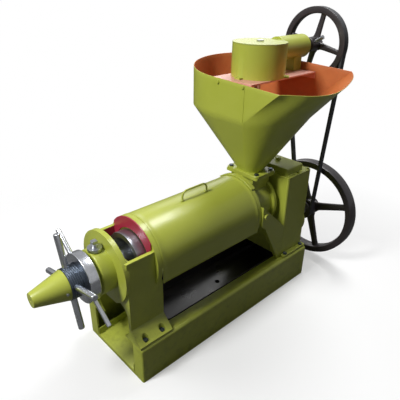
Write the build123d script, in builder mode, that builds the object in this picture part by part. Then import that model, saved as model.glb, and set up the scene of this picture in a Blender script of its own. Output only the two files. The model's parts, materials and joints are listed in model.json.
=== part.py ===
from build123d import *
from math import acos, asin, atan2, cos, degrees, pi, radians, sin, sqrt, tan
import os

# Screw oil press. X runs along the press line from the cake outlet to the drive, Z is up,
# and the origin is on the floor at the middle of the base. Lengths are in millimetres.
# A "station" is a distance along X from the front end of the base.

# Fits and cuts
overrun = 5.0            # how far a cut runs past the faces that it opens
seat_gap = 0.3           # between pieces that are laid against each other
running_gap = 0.05       # radial gap of a shaft in its bearing
fixed_gap = 0.02         # radial gap of a hub that is keyed to its shaft
backlash = 0.5           # play between gear teeth, along the pitch circle

# Base
base_length = 1100.0
base_width = 402.0
base_height = 178.0
beam_width = 60.0
beam_plate = 8.0
beam_edge_radius = 14.0
cross_bar_width = 60.0
cross_bar_height = 30.0
cross_bar_shares = (0.22, 0.50, 0.80)
foundation_hole_radius = 9.0
foundation_end_distance = 80.0
tray_wall = 3.0
tray_depth = 110.0
tray_side_gap = 8.0
tray_front_station = 182.0
tray_rear_station = 1060.0
tray_corner_radius = 20.0
drain_radius = 15.0
drain_wall = 2.5
drain_length = 18.0
drain_station = 620.0
chute_plate = 4.0
chute_half_width = 136.0
chute_side_height = 40.0
chute_foot_height = 14.0
chute_length = 170.0
chute_rise = 22.0
chute_back_height = 150.0
front_bar_height = 13.7

# Press line and discharge housing
axis_height = 475.0
flange_radius = 150.0
flange_thickness = 20.0
flange_station = -12.0
boss_radius = 92.0
boss_length = 56.0
boss_edge_radius = 6.0
grease_pad_radius = 28.0
grease_pad_height = 12.0
grease_station = -41.0
grease_head_width = 20.0
grease_head_height = 15.0
grease_stem_radius = 7.0
grease_stem_height = 12.0
leg_outer_reach = 140.0
leg_thickness = 16.0
leg_front_station = 0.0
leg_rear_station = 160.0
leg_rear_height = 400.0
leg_slope_height = 440.0
sill_rise = 76.0
front_wall_thickness = 20.0
foot_reach = 196.0
foot_edge_height = 9.0
foot_wall_height = 62.0
foot_bolt_reach = 176.0
foot_bolt_stations = (38.0, 120.0)
foot_pocket_radius = 14.0
foot_seat_height = 12.0
arch_top_height = 340.0
arch_corner_radius = 62.0
end_wall_station = 126.0
end_wall_thickness = 21.0
end_wall_radius = 160.0
guard_thickness = 5.7
guard_bore_radius = 112.0
outlet_ring_radius = 106.0
outlet_ring_station = 80.0
outlet_ring_mouth = 84.0
outlet_ring_bore = 49.5
outlet_ring_land = 10.0
outlet_pocket = 12.0

# Press cage and its cover
cage_radius = 50.0
bar_depth = 18.0
bar_count = 24
bar_slot = 0.5
ring_outer_radius = 104.0
ring_width = 28.0
ring_count = 5
ring_first_station = 196.0
ring_last_station = 640.0
tie_radius = 8.0
tie_circle_radius = 86.0
tie_count = 4
tie_depth = 8.0
cover_radius = 160.0
cover_sheet = 2.5
cover_station = 149.0
cover_skirt = 72.0
spigot_length = 18.0
handle_wire_radius = 4.0
handle_station = 372.0
handle_length = 139.0
handle_rise = 38.0
handle_bend_radius = 26.0
handle_offset = -16.0
handle_foot = 5.0

# Feed housing and its throat
feed_disc_station = 716.0
feed_disc_thickness = 18.0
feed_disc_radius = 160.0
feed_body_radius = 112.0
feed_end_station = 886.0
feed_end_radius = 130.0
feed_bore_radius = 56.0
feed_rear_wall = 12.0
feed_axis_station = 824.0
throat_bore_radius = 50.0
neck_length = 124.0
neck_width = 136.0
throat_height = 632.0
throat_plate = 12.0
throat_plate_length = 142.0
throat_plate_width = 196.0
throat_bolt_x = 104.0
throat_bolt_y = 158.0
strip_thickness = 6.0
strip_half_angle = 36.0
lug_length = 40.0
lug_height = 46.0

# Gearbox
gearbox_station = 911.0
gearbox_length = 184.0
gearbox_half_width = 167.0
gearbox_top = 613.0
gearbox_wall = 14.0
gearbox_edge_radius = 10.0
gearbox_foot_reach = 25.0
arm_thickness = 24.0
arm_front_station = 736.0
arm_upper_front_height = 528.0
arm_upper_rear_height = 362.0
arm_lower_front_height = 404.0
arm_tip_height = 424.0
arm_lower_front_station = 762.0
arm_foot_station = 888.0
lid_plate = 10.0
lid_hump_height = 32.0
lid_hump_length = 130.0
lid_hump_half_width = 140.0
lid_hump_station = 929.0
lid_hump_wall = 6.0
lid_edge_radius = 7.0
lid_bolt_inset = 9.5
lid_bolt_side_inset = 13.5
plug_station = 1003.0
plug_y = -26.0
plug_height = 14.0
plug_width = 24.0
bearing_width = 18.0
bearing_face_inset = 8.0
bearing_boss_wall = 8.0

# Shafts and gears
input_y = -68.0
input_z = 302.0
input_radius = 22.5
input_bearing_radius = 42.0
shaft_end_inset = 2.0
lay_radius = 20.0
lay_bearing_radius = 38.0
quill_radius = 48.0
quill_bearing_radius = 68.0
pressure_angle = 20.0
first_module = 4.0
first_pinion_teeth = 16
first_gear_teeth = 40
second_module = 5.0
second_pinion_teeth = 14
second_gear_teeth = 46
first_width = 30.0
second_width = 54.0
first_station = 946.0
second_station = 1003.0
first_web = 12.0
second_web = 22.0
web_rim = 14.0
hub_wall = 14.0
cap_radius = 88.0
cap_thickness = 30.0
output_cap_radius = 74.0
output_cap_thickness = 15.0
cap_bolt_inset = 12.0
cap_bolt_count = 6
shaft_key_width = 14.0
shaft_key_height = 9.0
shaft_key_length = 100.0
pulley_key_width = 12.0
pulley_key_height = 8.0

# Press screw
journal_radius = 30.0
journal_station = -150.0
tail_radius = 46.0
tail_cone_station = 70.0
tail_end_radius = 40.0
screw_seat_radius = 34.0
drive_radius = 35.0
screw_root_radius = 39.0
screw_flight_radius = 48.2
flight_thickness = 9.0
flight_count = 6
flight_turn_share = 0.86
screw_front_station = 130.0
screw_rear_station = 862.0
screw_end_station = 1086.0

# Adjusting gear at the front
sleeve_radius = 62.0
sleeve_front_station = -175.0
sleeve_rear_station = -15.0
sleeve_bore_radius = 36.0
race_thickness = 8.0
roller_radius = 4.0
roller_length = 18.0
roller_count = 12
bar_radius = 12.0
bar_station = -155.0
bar_reach = 192.0
bar_root = 44.0
bar_lean = 14.0
thread_pitch = 8.0
thread_depth = 2.5
cone_length = 125.0
cone_small_radius = 28.0
cone_large_radius = 60.0
cone_wall = 6.0
cone_screw_radius = 5.0
cone_screw_inset = 16.0
lock_radius = 100.0
lock_front_station = -121.0
lock_width = 40.0
lock_edge_radius = 5.0
lock_bar_radius = 9.0
lock_bar_reach = 207.0
lock_bar_root = 82.0
lock_bar_lean = 51.0

# Pulleys and belt
belt_station = 1243.0
belt_top_width = 20.0
belt_bottom_width = 13.0
belt_height = 12.0
belt_floor_gap = 3.0
end_washer_radius = 36.0
end_washer_thickness = 6.0
small_pulley_radius = 52.0
small_pulley_width = 34.0
big_wheel_radius = 277.0
big_wheel_width = 60.0
big_wheel_station = 1266.0
big_rim_depth = 40.0
big_hub_radius = 52.0
big_spoke_width = 46.0
big_spoke_thickness = 22.0
big_spoke_angle = 71.0
feeder_wheel_radius = 167.0
feeder_wheel_width = 36.0
feeder_rim_depth = 32.0
feeder_hub_radius = 34.0
feeder_hub_length = 62.0
feeder_spoke_width = 32.0
feeder_spoke_thickness = 16.0
feeder_spoke_angle = 12.0
spoke_taper_share = 0.72
spoke_count = 4

# Hopper
hopper_sheet = 3.0
hopper_half_length = 230.0
hopper_center_station = 880.0
hopper_round_y = 112.0
hopper_round_reach = 263.0
hopper_fold_height = 905.0
hopper_fold_y = -80.0
hopper_rim_front_y = -318.0
hopper_rim_back_y = -150.0
throat_near_points = ((868.0, -46.0), (853.0, -56.0), (836.0, -62.0), (810.0, -62.0), (790.0, -54.0))
fold_near_points = ((961.0, -192.0), (921.0, -221.0), (854.0, -254.0), (776.0, -264.0), (712.0, -231.0))
rim_near_points = ((1044.0, -321.0), (979.0, -368.0), (870.0, -426.0), (760.0, -438.0), (689.0, -417.0))
rim_front_height = 1090.0
rim_slope = 5.0
throat_half_length = 58.0
throat_half_width = 52.0
throat_round = 12.0
hopper_plate = 8.0

# Feeder on the hopper
bridge_height = 1087.0
bridge_plate_thickness = 6.0
bridge_width = 220.0
drum_radius = 117.0
drum_height = 142.0
drum_wall = 5.0
drum_lid = 4.0
ear_reach = 18.0
ear_width = 30.0
ear_thickness = 7.0
ear_count = 3
feeder_axis_height = 1188.0
tube_radius = 52.0
tube_bore_radius = 40.0
tube_end_station = 1130.0
bush_length = 30.0
bracket_station = 1040.0
bracket_length = 56.0
bracket_width = 64.0
feeder_shaft_radius = 15.0
feeder_shaft_end = 1290.0
auger_shaft_radius = 15.0
auger_flight_radius = 45.0
auger_bottom_height = 552.0
auger_flight_top = 800.0
auger_pitch = 62.0
auger_flight_thickness = 5.0
crown_teeth = 36
crown_pinion_teeth = 12
crown_radius = 75.0
crown_face_share = 0.28
crown_tooth_share = 0.40
crown_backing = 12.0
set_bolt_radius = 7.0
set_bolt_length = 34.0
set_bolt_head_width = 18.0
set_bolt_head_height = 11.0
set_bolt_angle = 150.0
bridge_tab = 30.0
bridge_bolt_y = 70.0
bridge_bolt_head = 5.5
crown_addendum_share = 0.55
crown_dedendum_share = 0.80
crown_hub_length = 14.0
feeder_shaft_bore = 10.0
pinion_hub_length = 14.0
pinion_hub_wall = 8.0
auger_end = 6.0

# Screws of the frame: across flats, head height, shank radius
m8_flats = 13.0
m8_head = 5.5
m8_radius = 4.0
m12_flats = 19.0
m12_head = 7.5
m12_radius = 6.0
m16_flats = 24.0
m16_head = 10.0
m16_radius = 8.0
hole_gap = 0.5

# Places worked out from the sizes above
front_x = -base_length / 2
beam_inner = base_width / 2 - beam_width
line_clear = sleeve_radius + seat_gap
end_wall_rear_station = end_wall_station + end_wall_thickness
spigot_radius = cover_radius - cover_sheet - seat_gap
cover_end_station = feed_disc_station - (cover_station - end_wall_rear_station)
cage_outer_radius = cage_radius + bar_depth
gearbox_rear_station = gearbox_station + gearbox_length
leg_inner_reach = leg_outer_reach - leg_thickness
race_front_station = sleeve_rear_station + seat_gap
roller_station = race_front_station + race_thickness + seat_gap
race_rear_station = roller_station + 2 * roller_radius + seat_gap
tail_station = race_rear_station + race_thickness + seat_gap
first_center = first_module * (first_pinion_teeth + first_gear_teeth) / 2
second_center = second_module * (second_pinion_teeth + second_gear_teeth) / 2
in_out_distance = sqrt(input_y ** 2 + (axis_height - input_z) ** 2)
lay_along = (first_center ** 2 - second_center ** 2 + in_out_distance ** 2) / (2 * in_out_distance)
lay_off = sqrt(first_center ** 2 - lay_along ** 2)
line_y = -input_y / in_out_distance
line_z = (axis_height - input_z) / in_out_distance
lay_y = input_y + lay_along * line_y + lay_off * line_z
lay_z = input_z + lay_along * line_z - lay_off * line_y
feed_x = front_x + feed_axis_station
small_seat_start = belt_station - small_pulley_width / 2
big_seat_end = big_wheel_station + big_wheel_width
input_end_station = big_seat_end - shaft_end_inset

half_turn = 180


def at(station):
    """X of a station."""
    return front_x + station


def cross_plane(station):
    """Plane square to the press line, with Y across and Z up."""
    return Plane.YZ.offset(at(station))


def side_plane(y=0.0, z=0.0):
    """Plane along a shaft at y, z: its first axis is X and its second is up."""
    return Plane(origin=(front_x, y, z), x_dir=(1, 0, 0), z_dir=(0, -1, 0))


def turned(outline, y, z):
    """Turn an outline of (station, radius) points round the shaft line at y, z."""
    with BuildSketch(side_plane(y, z)) as profile:
        with BuildLine():
            Polyline(*outline, close=True)
        make_face()
    revolve(profile.sketch, Axis((0, y, z), (1, 0, 0)), mode=Mode.ADD)


def bore_x(station, length, radius, y, z):
    """Cut a round hole along X."""
    with BuildSketch(cross_plane(station)) as hole:
        with Locations((y, z)):
            Circle(radius)
    extrude(hole.sketch, amount=length, mode=Mode.SUBTRACT)


def disc_x(station, length, radius, y, z):
    """Add a round bar along X."""
    with BuildSketch(cross_plane(station)) as bar:
        with Locations((y, z)):
            Circle(radius)
    extrude(bar.sketch, amount=length)


# Base: two channels open toward the middle, joined by end plates, a rear plate and cross bars.
tray_bottom = base_height - tray_depth
with BuildPart() as base_frame:
    with Locations((0, 0, base_height / 2)):
        Box(base_length, base_width, base_height)
    fillet(base_frame.edges().filter_by(Axis.X).group_by(Axis.Z)[-1], radius=beam_edge_radius)
    fillet(base_frame.edges().filter_by(Axis.Z), radius=beam_plate)
    with Locations((-beam_plate - overrun, 0, base_height / 2)):
        Box(base_length + 2 * overrun, 2 * beam_inner, base_height + 2 * overrun, mode=Mode.SUBTRACT)
    with Locations((0, 0, base_height / 2)):
        Box(base_length - 2 * beam_plate, base_width - 2 * beam_plate, base_height - 2 * beam_plate,
            mode=Mode.SUBTRACT)
    bar_top = tray_bottom - seat_gap
    for share in cross_bar_shares:
        with Locations((at(share * base_length), 0, bar_top - cross_bar_height / 2)):
            Box(cross_bar_width, base_width - 2 * beam_plate, cross_bar_height)
    with Locations((at(cross_bar_width / 2), 0, front_bar_height / 2)):
        Box(cross_bar_width, 2 * beam_inner, front_bar_height)
    with GridLocations(base_length - 2 * foundation_end_distance, 2 * beam_inner + beam_width, 2, 2):
        Cylinder(foundation_hole_radius, 2 * (beam_plate + overrun), mode=Mode.SUBTRACT)
    foot_rows = [(station, foot_bolt_reach) for station in foot_bolt_stations]
    gearbox_foot_y = gearbox_half_width + gearbox_foot_reach / 2
    gearbox_foot_stations = (gearbox_station + gearbox_foot_reach, gearbox_rear_station - gearbox_foot_reach)
    foot_rows = foot_rows + [(station, gearbox_foot_y) for station in gearbox_foot_stations]
    for station, reach in foot_rows:
        with Locations((at(station), reach, base_height), (at(station), -reach, base_height)):
            Cylinder(m12_radius + hole_gap, 2 * (beam_plate + overrun), mode=Mode.SUBTRACT)

# Oil tray: an open box between the beams with a drain stub under it.
tray_length = tray_rear_station - tray_front_station
tray_x = at((tray_rear_station + tray_front_station) / 2)
tray_width = 2 * (beam_inner - tray_side_gap)
with BuildPart() as oil_tray:
    with BuildSketch(Plane.XY.offset(tray_bottom)) as tray_outline:
        with Locations((tray_x, 0)):
            RectangleRounded(tray_length, tray_width, tray_corner_radius)
    extrude(tray_outline.sketch, amount=tray_depth - tray_wall)
    with BuildSketch(Plane.XY.offset(tray_bottom)) as drain_outline:
        with Locations((at(drain_station), 0)):
            Circle(drain_radius)
    extrude(drain_outline.sketch, amount=-drain_length)
    with BuildSketch(Plane.XY.offset(tray_bottom + tray_wall)) as tray_inside:
        with Locations((tray_x, 0)):
            RectangleRounded(tray_length - 2 * tray_wall, tray_width - 2 * tray_wall,
                             tray_corner_radius - tray_wall)
    extrude(tray_inside.sketch, amount=tray_depth, mode=Mode.SUBTRACT)
    with Locations((at(drain_station), 0, tray_bottom)):
        Cylinder(drain_radius - drain_wall, 2 * (drain_length + overrun), mode=Mode.SUBTRACT)

# Cake chute: a plate that falls to the front, with low sides and a back.
with BuildPart() as cake_chute:
    with BuildSketch(side_plane(chute_half_width)) as chute_side:
        with BuildLine():
            Polyline((0, chute_foot_height), (chute_length, chute_foot_height + chute_rise),
                     (chute_length, chute_back_height),
                     (chute_length - chute_plate, chute_back_height),
                     (chute_length - chute_plate, chute_foot_height + chute_rise + chute_side_height),
                     (0, chute_foot_height + chute_side_height), close=True)
        make_face()
    extrude(chute_side.sketch, amount=2 * chute_half_width)
    with BuildSketch(side_plane(chute_half_width - chute_plate)) as chute_inside:
        with BuildLine():
            Polyline((-overrun, chute_foot_height + chute_plate),
                     (chute_length - chute_plate, chute_foot_height + chute_rise + chute_plate),
                     (chute_length - chute_plate, chute_back_height + overrun),
                     (-overrun, chute_back_height + overrun), close=True)
        make_face()
    extrude(chute_inside.sketch, amount=2 * (chute_half_width - chute_plate), mode=Mode.SUBTRACT)

# Discharge housing: one casting with the front flange and boss, two side walls on wide feet
# and the rear wall that carries the press cage. The cake falls through the open bottom.
base_seat = base_height + seat_gap
sill_height = axis_height + sill_rise
with BuildPart() as discharge_housing:
    with BuildSketch(side_plane(leg_outer_reach)) as wall_profile:
        with BuildLine():
            Polyline((leg_front_station, base_seat), (leg_rear_station, base_seat),
                     (leg_rear_station, leg_rear_height),
                     (end_wall_rear_station, leg_slope_height),
                     (end_wall_rear_station, sill_height),
                     (leg_front_station, sill_height), close=True)
        make_face()
    extrude(wall_profile.sketch, amount=2 * leg_outer_reach)
    with BuildSketch(cross_plane(front_wall_thickness)) as inside:
        with Locations((0, (base_height + axis_height + flange_radius) / 2)):
            Rectangle(2 * leg_inner_reach, axis_height + flange_radius - base_height + 2 * overrun)
    extrude(inside.sketch, amount=leg_rear_station, mode=Mode.SUBTRACT)
    with BuildSketch(cross_plane(leg_front_station)) as feet:
        for side in (-1, 1):
            with BuildLine():
                Polyline((side * (leg_outer_reach - overrun), base_seat), (side * foot_reach, base_seat),
                         (side * foot_reach, base_seat + foot_edge_height),
                         (side * leg_outer_reach, base_seat + foot_wall_height),
                         (side * (leg_outer_reach - overrun), base_seat + foot_wall_height), close=True)
            make_face()
    extrude(feet.sketch, amount=leg_rear_station)
    disc_x(flange_station, flange_thickness, flange_radius, 0, axis_height)
    disc_x(end_wall_station, end_wall_thickness, end_wall_radius, 0, axis_height)
    with BuildSketch(cross_plane(end_wall_rear_station)) as spigot:
        with Locations((0, axis_height)):
            Circle(spigot_radius)
            Circle(spigot_radius - spigot_length / 2, mode=Mode.SUBTRACT)
            with Locations((0, -cover_radius)):
                Rectangle(2 * cover_radius, 2 * cover_radius, mode=Mode.SUBTRACT)
    extrude(spigot.sketch, amount=spigot_length)
    disc_x(flange_station - boss_length, boss_length, boss_radius, 0, axis_height)
    boss_front = discharge_housing.edges().filter_by(GeomType.CIRCLE).group_by(Axis.X)[0]
    fillet(boss_front, radius=boss_edge_radius)
    with BuildSketch(cross_plane(flange_station - overrun)) as arch:
        with Locations((0, (arch_top_height + base_height - overrun) / 2)):
            Rectangle(2 * leg_inner_reach, arch_top_height - base_height + overrun)
        fillet(arch.vertices().group_by(Axis.Z)[-1], radius=arch_corner_radius)
    extrude(arch.sketch, amount=flange_thickness + front_wall_thickness, mode=Mode.SUBTRACT)
    bore_x(flange_station - boss_length - overrun, boss_length + 2 * front_wall_thickness,
           line_clear, 0, axis_height)
    bore_x(end_wall_station - overrun, end_wall_thickness + 2 * overrun,
           cage_radius, 0, axis_height)
    bore_x(end_wall_station - overrun, outlet_pocket + overrun,
           outlet_ring_radius + seat_gap, 0, axis_height)
    with BuildSketch(cross_plane(end_wall_rear_station)) as tie_holes:
        with Locations((0, axis_height)):
            with PolarLocations(tie_circle_radius, tie_count, 45):
                Circle(tie_radius + seat_gap)
    extrude(tie_holes.sketch, amount=-tie_depth - seat_gap, mode=Mode.SUBTRACT)
    for station in foot_bolt_stations:
        for side in (-1, 1):
            with Locations((at(station), side * foot_bolt_reach, base_seat + foot_seat_height)):
                Cylinder(foot_pocket_radius, foot_wall_height,
                         align=(Align.CENTER, Align.CENTER, Align.MIN), mode=Mode.SUBTRACT)
                Cylinder(m12_radius + hole_gap, foot_wall_height, mode=Mode.SUBTRACT)
    with Locations((at(grease_station), 0, axis_height + boss_radius)):
        Cylinder(grease_stem_radius, boss_radius, mode=Mode.SUBTRACT)

# Guard plate: the painted face of the rear wall round the outlet ring.
with BuildPart() as guard_plate:
    with BuildSketch(cross_plane(end_wall_station - guard_thickness - seat_gap)) as guard_outline:
        with Locations((0, axis_height)):
            Circle(end_wall_radius)
            Circle(guard_bore_radius, mode=Mode.SUBTRACT)
            for side in (-1, 1):
                with Locations((side * (leg_inner_reach - seat_gap + base_width / 2), 0)):
                    Rectangle(base_width, base_width, mode=Mode.SUBTRACT)
    extrude(guard_outline.sketch, amount=guard_thickness)

# Outlet ring: the seat that the cone on the screw closes against.
with BuildPart() as outlet_ring:
    ring_end = end_wall_station + outlet_pocket - seat_gap
    turned([(outlet_ring_station, outlet_ring_mouth), (outlet_ring_station, outlet_ring_radius),
            (ring_end, outlet_ring_radius), (ring_end, outlet_ring_bore),
            (ring_end - outlet_ring_land, outlet_ring_bore)], 0, axis_height)

# Grease cup on the boss: a pad, a stem down into the boss and a square head.
with BuildPart() as grease_cup:
    pad_seat = axis_height + boss_radius + seat_gap
    with Locations((at(grease_station), 0, pad_seat)):
        Cylinder(grease_pad_radius, grease_pad_height, align=(Align.CENTER, Align.CENTER, Align.MIN))
        Cylinder(grease_stem_radius + hole_gap + overrun, grease_pad_height + grease_stem_height,
                 align=(Align.CENTER, Align.CENTER, Align.MIN))
        Cylinder(grease_stem_radius - seat_gap, boss_radius - sleeve_radius - overrun,
                 align=(Align.CENTER, Align.CENTER, Align.MAX))
    with Locations((at(grease_station), 0, pad_seat + grease_pad_height + grease_stem_height)):
        Box(grease_head_width, grease_head_width, grease_head_height,
            align=(Align.CENTER, Align.CENTER, Align.MIN))

# Press cage: a tube of loose bars with slots between them, rings round it and four tie rods.
cage_front = end_wall_rear_station + seat_gap
cage_length = feed_disc_station - seat_gap - cage_front
with BuildPart() as cage_bars:
    half_angle = pi / bar_count
    inner_half = cage_radius * tan(half_angle) - bar_slot / 2
    outer_half = cage_outer_radius * tan(half_angle) - bar_slot / 2
    with BuildSketch(cross_plane(cage_front)) as bar_ends:
        with Locations((0, axis_height)):
            with PolarLocations(0, bar_count):
                Polygon((cage_radius, -inner_half), (cage_outer_radius, -outer_half),
                        (cage_outer_radius, outer_half), (cage_radius, inner_half), align=None)
    extrude(bar_ends.sketch, amount=cage_length)

with BuildPart() as cage_rings:
    ring_bore = cage_outer_radius / cos(half_angle) + seat_gap
    ring_step = (ring_last_station - ring_first_station) / (ring_count - 1)
    for index in range(ring_count):
        with BuildSketch(cross_plane(ring_first_station + index * ring_step)) as ring_outline:
            with Locations((0, axis_height)):
                Circle(ring_outer_radius)
                Circle(ring_bore, mode=Mode.SUBTRACT)
                with PolarLocations(tie_circle_radius, tie_count, 45):
                    Circle(tie_radius + seat_gap, mode=Mode.SUBTRACT)
        extrude(ring_outline.sketch, amount=ring_width)

with BuildPart() as cage_ties:
    with BuildSketch(cross_plane(end_wall_rear_station - tie_depth)) as tie_ends:
        with Locations((0, axis_height)):
            with PolarLocations(tie_circle_radius, tie_count, 45):
                Circle(tie_radius)
    extrude(tie_ends.sketch, amount=cage_length + 2 * tie_depth)

# Cover over the cage: half a tube with straight skirts, lifted off by its handle.
with BuildPart() as cover:
    with BuildSketch(cross_plane(cover_station)) as cover_section:
        for radius, mode in ((cover_radius, Mode.ADD), (cover_radius - cover_sheet, Mode.SUBTRACT)):
            with Locations((0, axis_height)):
                Circle(radius, mode=mode)
            with Locations((0, axis_height - cover_skirt)):
                Rectangle(2 * radius, 2 * cover_skirt, mode=mode)
        with Locations((0, axis_height - cover_skirt - cover_radius)):
            Rectangle(3 * cover_radius, 2 * cover_radius, mode=Mode.SUBTRACT)
    extrude(cover_section.sketch, amount=cover_end_station - cover_station)

with BuildPart() as cover_handle:
    handle_top = axis_height + cover_radius + seat_gap
    foot_top = handle_top + handle_foot / 2
    low = (handle_station, foot_top)
    high = (handle_station + handle_length, foot_top)
    with BuildLine(side_plane(handle_offset)) as handle_path:
        handle_line = Polyline(low, (handle_station, foot_top + handle_rise),
                               (handle_station + handle_length, foot_top + handle_rise), high)
        fillet(handle_line.vertices().group_by(Axis.Z)[-1], radius=handle_bend_radius)
    with BuildSketch(Plane.XY.offset(foot_top)) as wire_section:
        with Locations((at(handle_station), handle_offset)):
            Circle(handle_wire_radius)
    sweep(wire_section.sketch, path=handle_path.wires()[0])
    with Locations((at(handle_station), handle_offset, handle_top),
                   (at(handle_station + handle_length), handle_offset, handle_top)):
        Cylinder(2 * handle_wire_radius, handle_foot, align=(Align.CENTER, Align.CENTER, Align.MIN))

# Feed housing: a disc against the cage, a barrel round the screw and a neck up to the hopper.
arm_inner = gearbox_half_width - arm_thickness
feed_disc_end = feed_disc_station + feed_disc_thickness
with BuildPart() as feed_housing:
    disc_x(feed_disc_station, feed_disc_thickness, feed_disc_radius, 0, axis_height)
    disc_x(feed_disc_end, feed_end_station - feed_disc_end, feed_body_radius, 0, axis_height)
    disc_x(feed_end_station - feed_disc_thickness, feed_disc_thickness, feed_end_radius, 0, axis_height)
    with BuildSketch(Plane.XY.offset(axis_height)) as neck:
        with Locations((feed_x, 0)):
            Rectangle(neck_length, neck_width)
    extrude(neck.sketch, amount=throat_height - axis_height)
    with BuildSketch(Plane.XY.offset(throat_height)) as throat:
        with Locations((feed_x, 0)):
            RectangleRounded(throat_plate_length, throat_plate_width, throat_plate)
    extrude(throat.sketch, amount=throat_plate)
    with Locations((at(arm_front_station + lug_length / 2), 0, axis_height)):
        Box(lug_length, 2 * (arm_inner - seat_gap), lug_height)
    with BuildSketch(cross_plane(feed_disc_station - spigot_length)) as rear_spigot:
        with Locations((0, axis_height)):
            Circle(spigot_radius)
            Circle(spigot_radius - spigot_length / 2, mode=Mode.SUBTRACT)
            with Locations((0, -cover_radius)):
                Rectangle(2 * cover_radius, 2 * cover_radius, mode=Mode.SUBTRACT)
    extrude(rear_spigot.sketch, amount=spigot_length)
    bore_x(feed_disc_station - overrun, feed_disc_thickness + 2 * overrun, cage_radius, 0, axis_height)
    bore_x(feed_disc_end, feed_end_station - feed_disc_end - feed_rear_wall, feed_bore_radius, 0,
           axis_height)
    bore_x(feed_disc_end, feed_end_station, drive_radius + hole_gap, 0, axis_height)
    with Locations((feed_x, 0, axis_height)):
        Cylinder(throat_bore_radius, throat_height, align=(Align.CENTER, Align.CENTER, Align.MIN),
                 mode=Mode.SUBTRACT)
    with BuildSketch(cross_plane(feed_disc_station)) as feed_tie_holes:
        with Locations((0, axis_height)):
            with PolarLocations(tie_circle_radius, tie_count, 45):
                Circle(tie_radius + seat_gap)
    extrude(feed_tie_holes.sketch, amount=tie_depth + seat_gap, mode=Mode.SUBTRACT)
    with Locations((feed_x, 0, throat_height)):
        with GridLocations(throat_bolt_x, throat_bolt_y, 2, 2):
            Cylinder(m12_radius + hole_gap, 2 * (throat_plate + overrun), mode=Mode.SUBTRACT)
    lug_x = at(arm_front_station + lug_length / 2)
    with Locations(Location((lug_x, arm_inner, axis_height), (90, 0, 0)),
                   Location((lug_x, -arm_inner, axis_height), (90, 0, 0))):
        Cylinder(m16_radius + hole_gap, 2 * lug_length, mode=Mode.SUBTRACT)

# Strip over the joint between cover and feed housing.
with BuildPart() as cover_strip:
    with BuildSketch(cross_plane(cover_end_station + seat_gap)) as strip_section:
        with Locations((0, axis_height)):
            Circle(cover_radius + seat_gap + strip_thickness)
            Circle(cover_radius + seat_gap, mode=Mode.SUBTRACT)
            with Locations((0, -axis_height / 2 + cover_radius * cos(radians(strip_half_angle)))):
                Rectangle(3 * cover_radius, axis_height, mode=Mode.SUBTRACT)
    extrude(strip_section.sketch, amount=feed_disc_end - cover_end_station + strip_thickness)

# Gearbox case: a box on the beams with feet, bearing bosses and two arms to the feed housing.
seat_height = base_height + seat_gap
wall_bosses = ((input_y, input_z, input_bearing_radius), (lay_y, lay_z, lay_bearing_radius),
               (0, axis_height, quill_bearing_radius))
boss_length_inside = bearing_face_inset + bearing_width
with BuildPart() as gearbox_case:
    with BuildSketch(Plane.XY.offset(seat_height)) as case_outline:
        with Locations((at(gearbox_station + gearbox_length / 2), 0)):
            Rectangle(gearbox_length, 2 * gearbox_half_width)
    extrude(case_outline.sketch, amount=gearbox_top - seat_height)
    fillet(gearbox_case.edges().filter_by(Axis.Z), radius=gearbox_edge_radius)
    with Locations((at(gearbox_station + gearbox_length / 2), 0, seat_height)):
        Box(gearbox_length, 2 * (gearbox_half_width + gearbox_foot_reach), foot_seat_height,
            align=(Align.CENTER, Align.CENTER, Align.MIN))
    with BuildSketch(Plane.XY.offset(seat_height + gearbox_wall)) as case_inside:
        with Locations((at(gearbox_station + gearbox_length / 2), 0)):
            Rectangle(gearbox_length - 2 * gearbox_wall, 2 * (gearbox_half_width - gearbox_wall))
    extrude(case_inside.sketch, amount=gearbox_top, mode=Mode.SUBTRACT)
    for y, z, radius in wall_bosses:
        disc_x(gearbox_station, boss_length_inside, radius + bearing_boss_wall, y, z)
        disc_x(gearbox_rear_station - boss_length_inside, boss_length_inside,
               radius + bearing_boss_wall, y, z)
    for side in (-1, 1):
        with BuildSketch(side_plane(side * gearbox_half_width)) as arm:
            with BuildLine():
                Polyline((arm_front_station, arm_upper_front_height), (arm_front_station, arm_tip_height),
                         (arm_lower_front_station, arm_lower_front_height),
                         (arm_foot_station, seat_height), (gearbox_station + overrun, seat_height),
                         (gearbox_station + overrun, arm_upper_rear_height), close=True)
            make_face()
        extrude(arm.sketch, amount=side * arm_thickness)
    for y, z, radius in wall_bosses:
        bore_x(gearbox_station + bearing_face_inset, bearing_width + overrun, radius + seat_gap, y, z)
        bore_x(gearbox_rear_station - bearing_face_inset - bearing_width - overrun,
               bearing_width + overrun, radius + seat_gap, y, z)
    bore_x(gearbox_station - overrun, 2 * gearbox_wall, quill_radius + seat_gap, 0, axis_height)
    bore_x(gearbox_rear_station - gearbox_wall, 2 * gearbox_wall, quill_radius + seat_gap, 0, axis_height)
    bore_x(gearbox_rear_station - gearbox_wall, 2 * gearbox_wall, input_radius + 2 * hole_gap,
           input_y, input_z)
    with Locations((lug_x, 0, axis_height)):
        with Locations(Location((0, 0, 0), (90, 0, 0))):
            Cylinder(m16_radius + hole_gap, 3 * gearbox_half_width, mode=Mode.SUBTRACT)
    for station in gearbox_foot_stations:
        with Locations((at(station), gearbox_foot_y, seat_height),
                       (at(station), -gearbox_foot_y, seat_height)):
            Cylinder(m12_radius + hole_gap, 2 * (foot_seat_height + overrun), mode=Mode.SUBTRACT)

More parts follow.
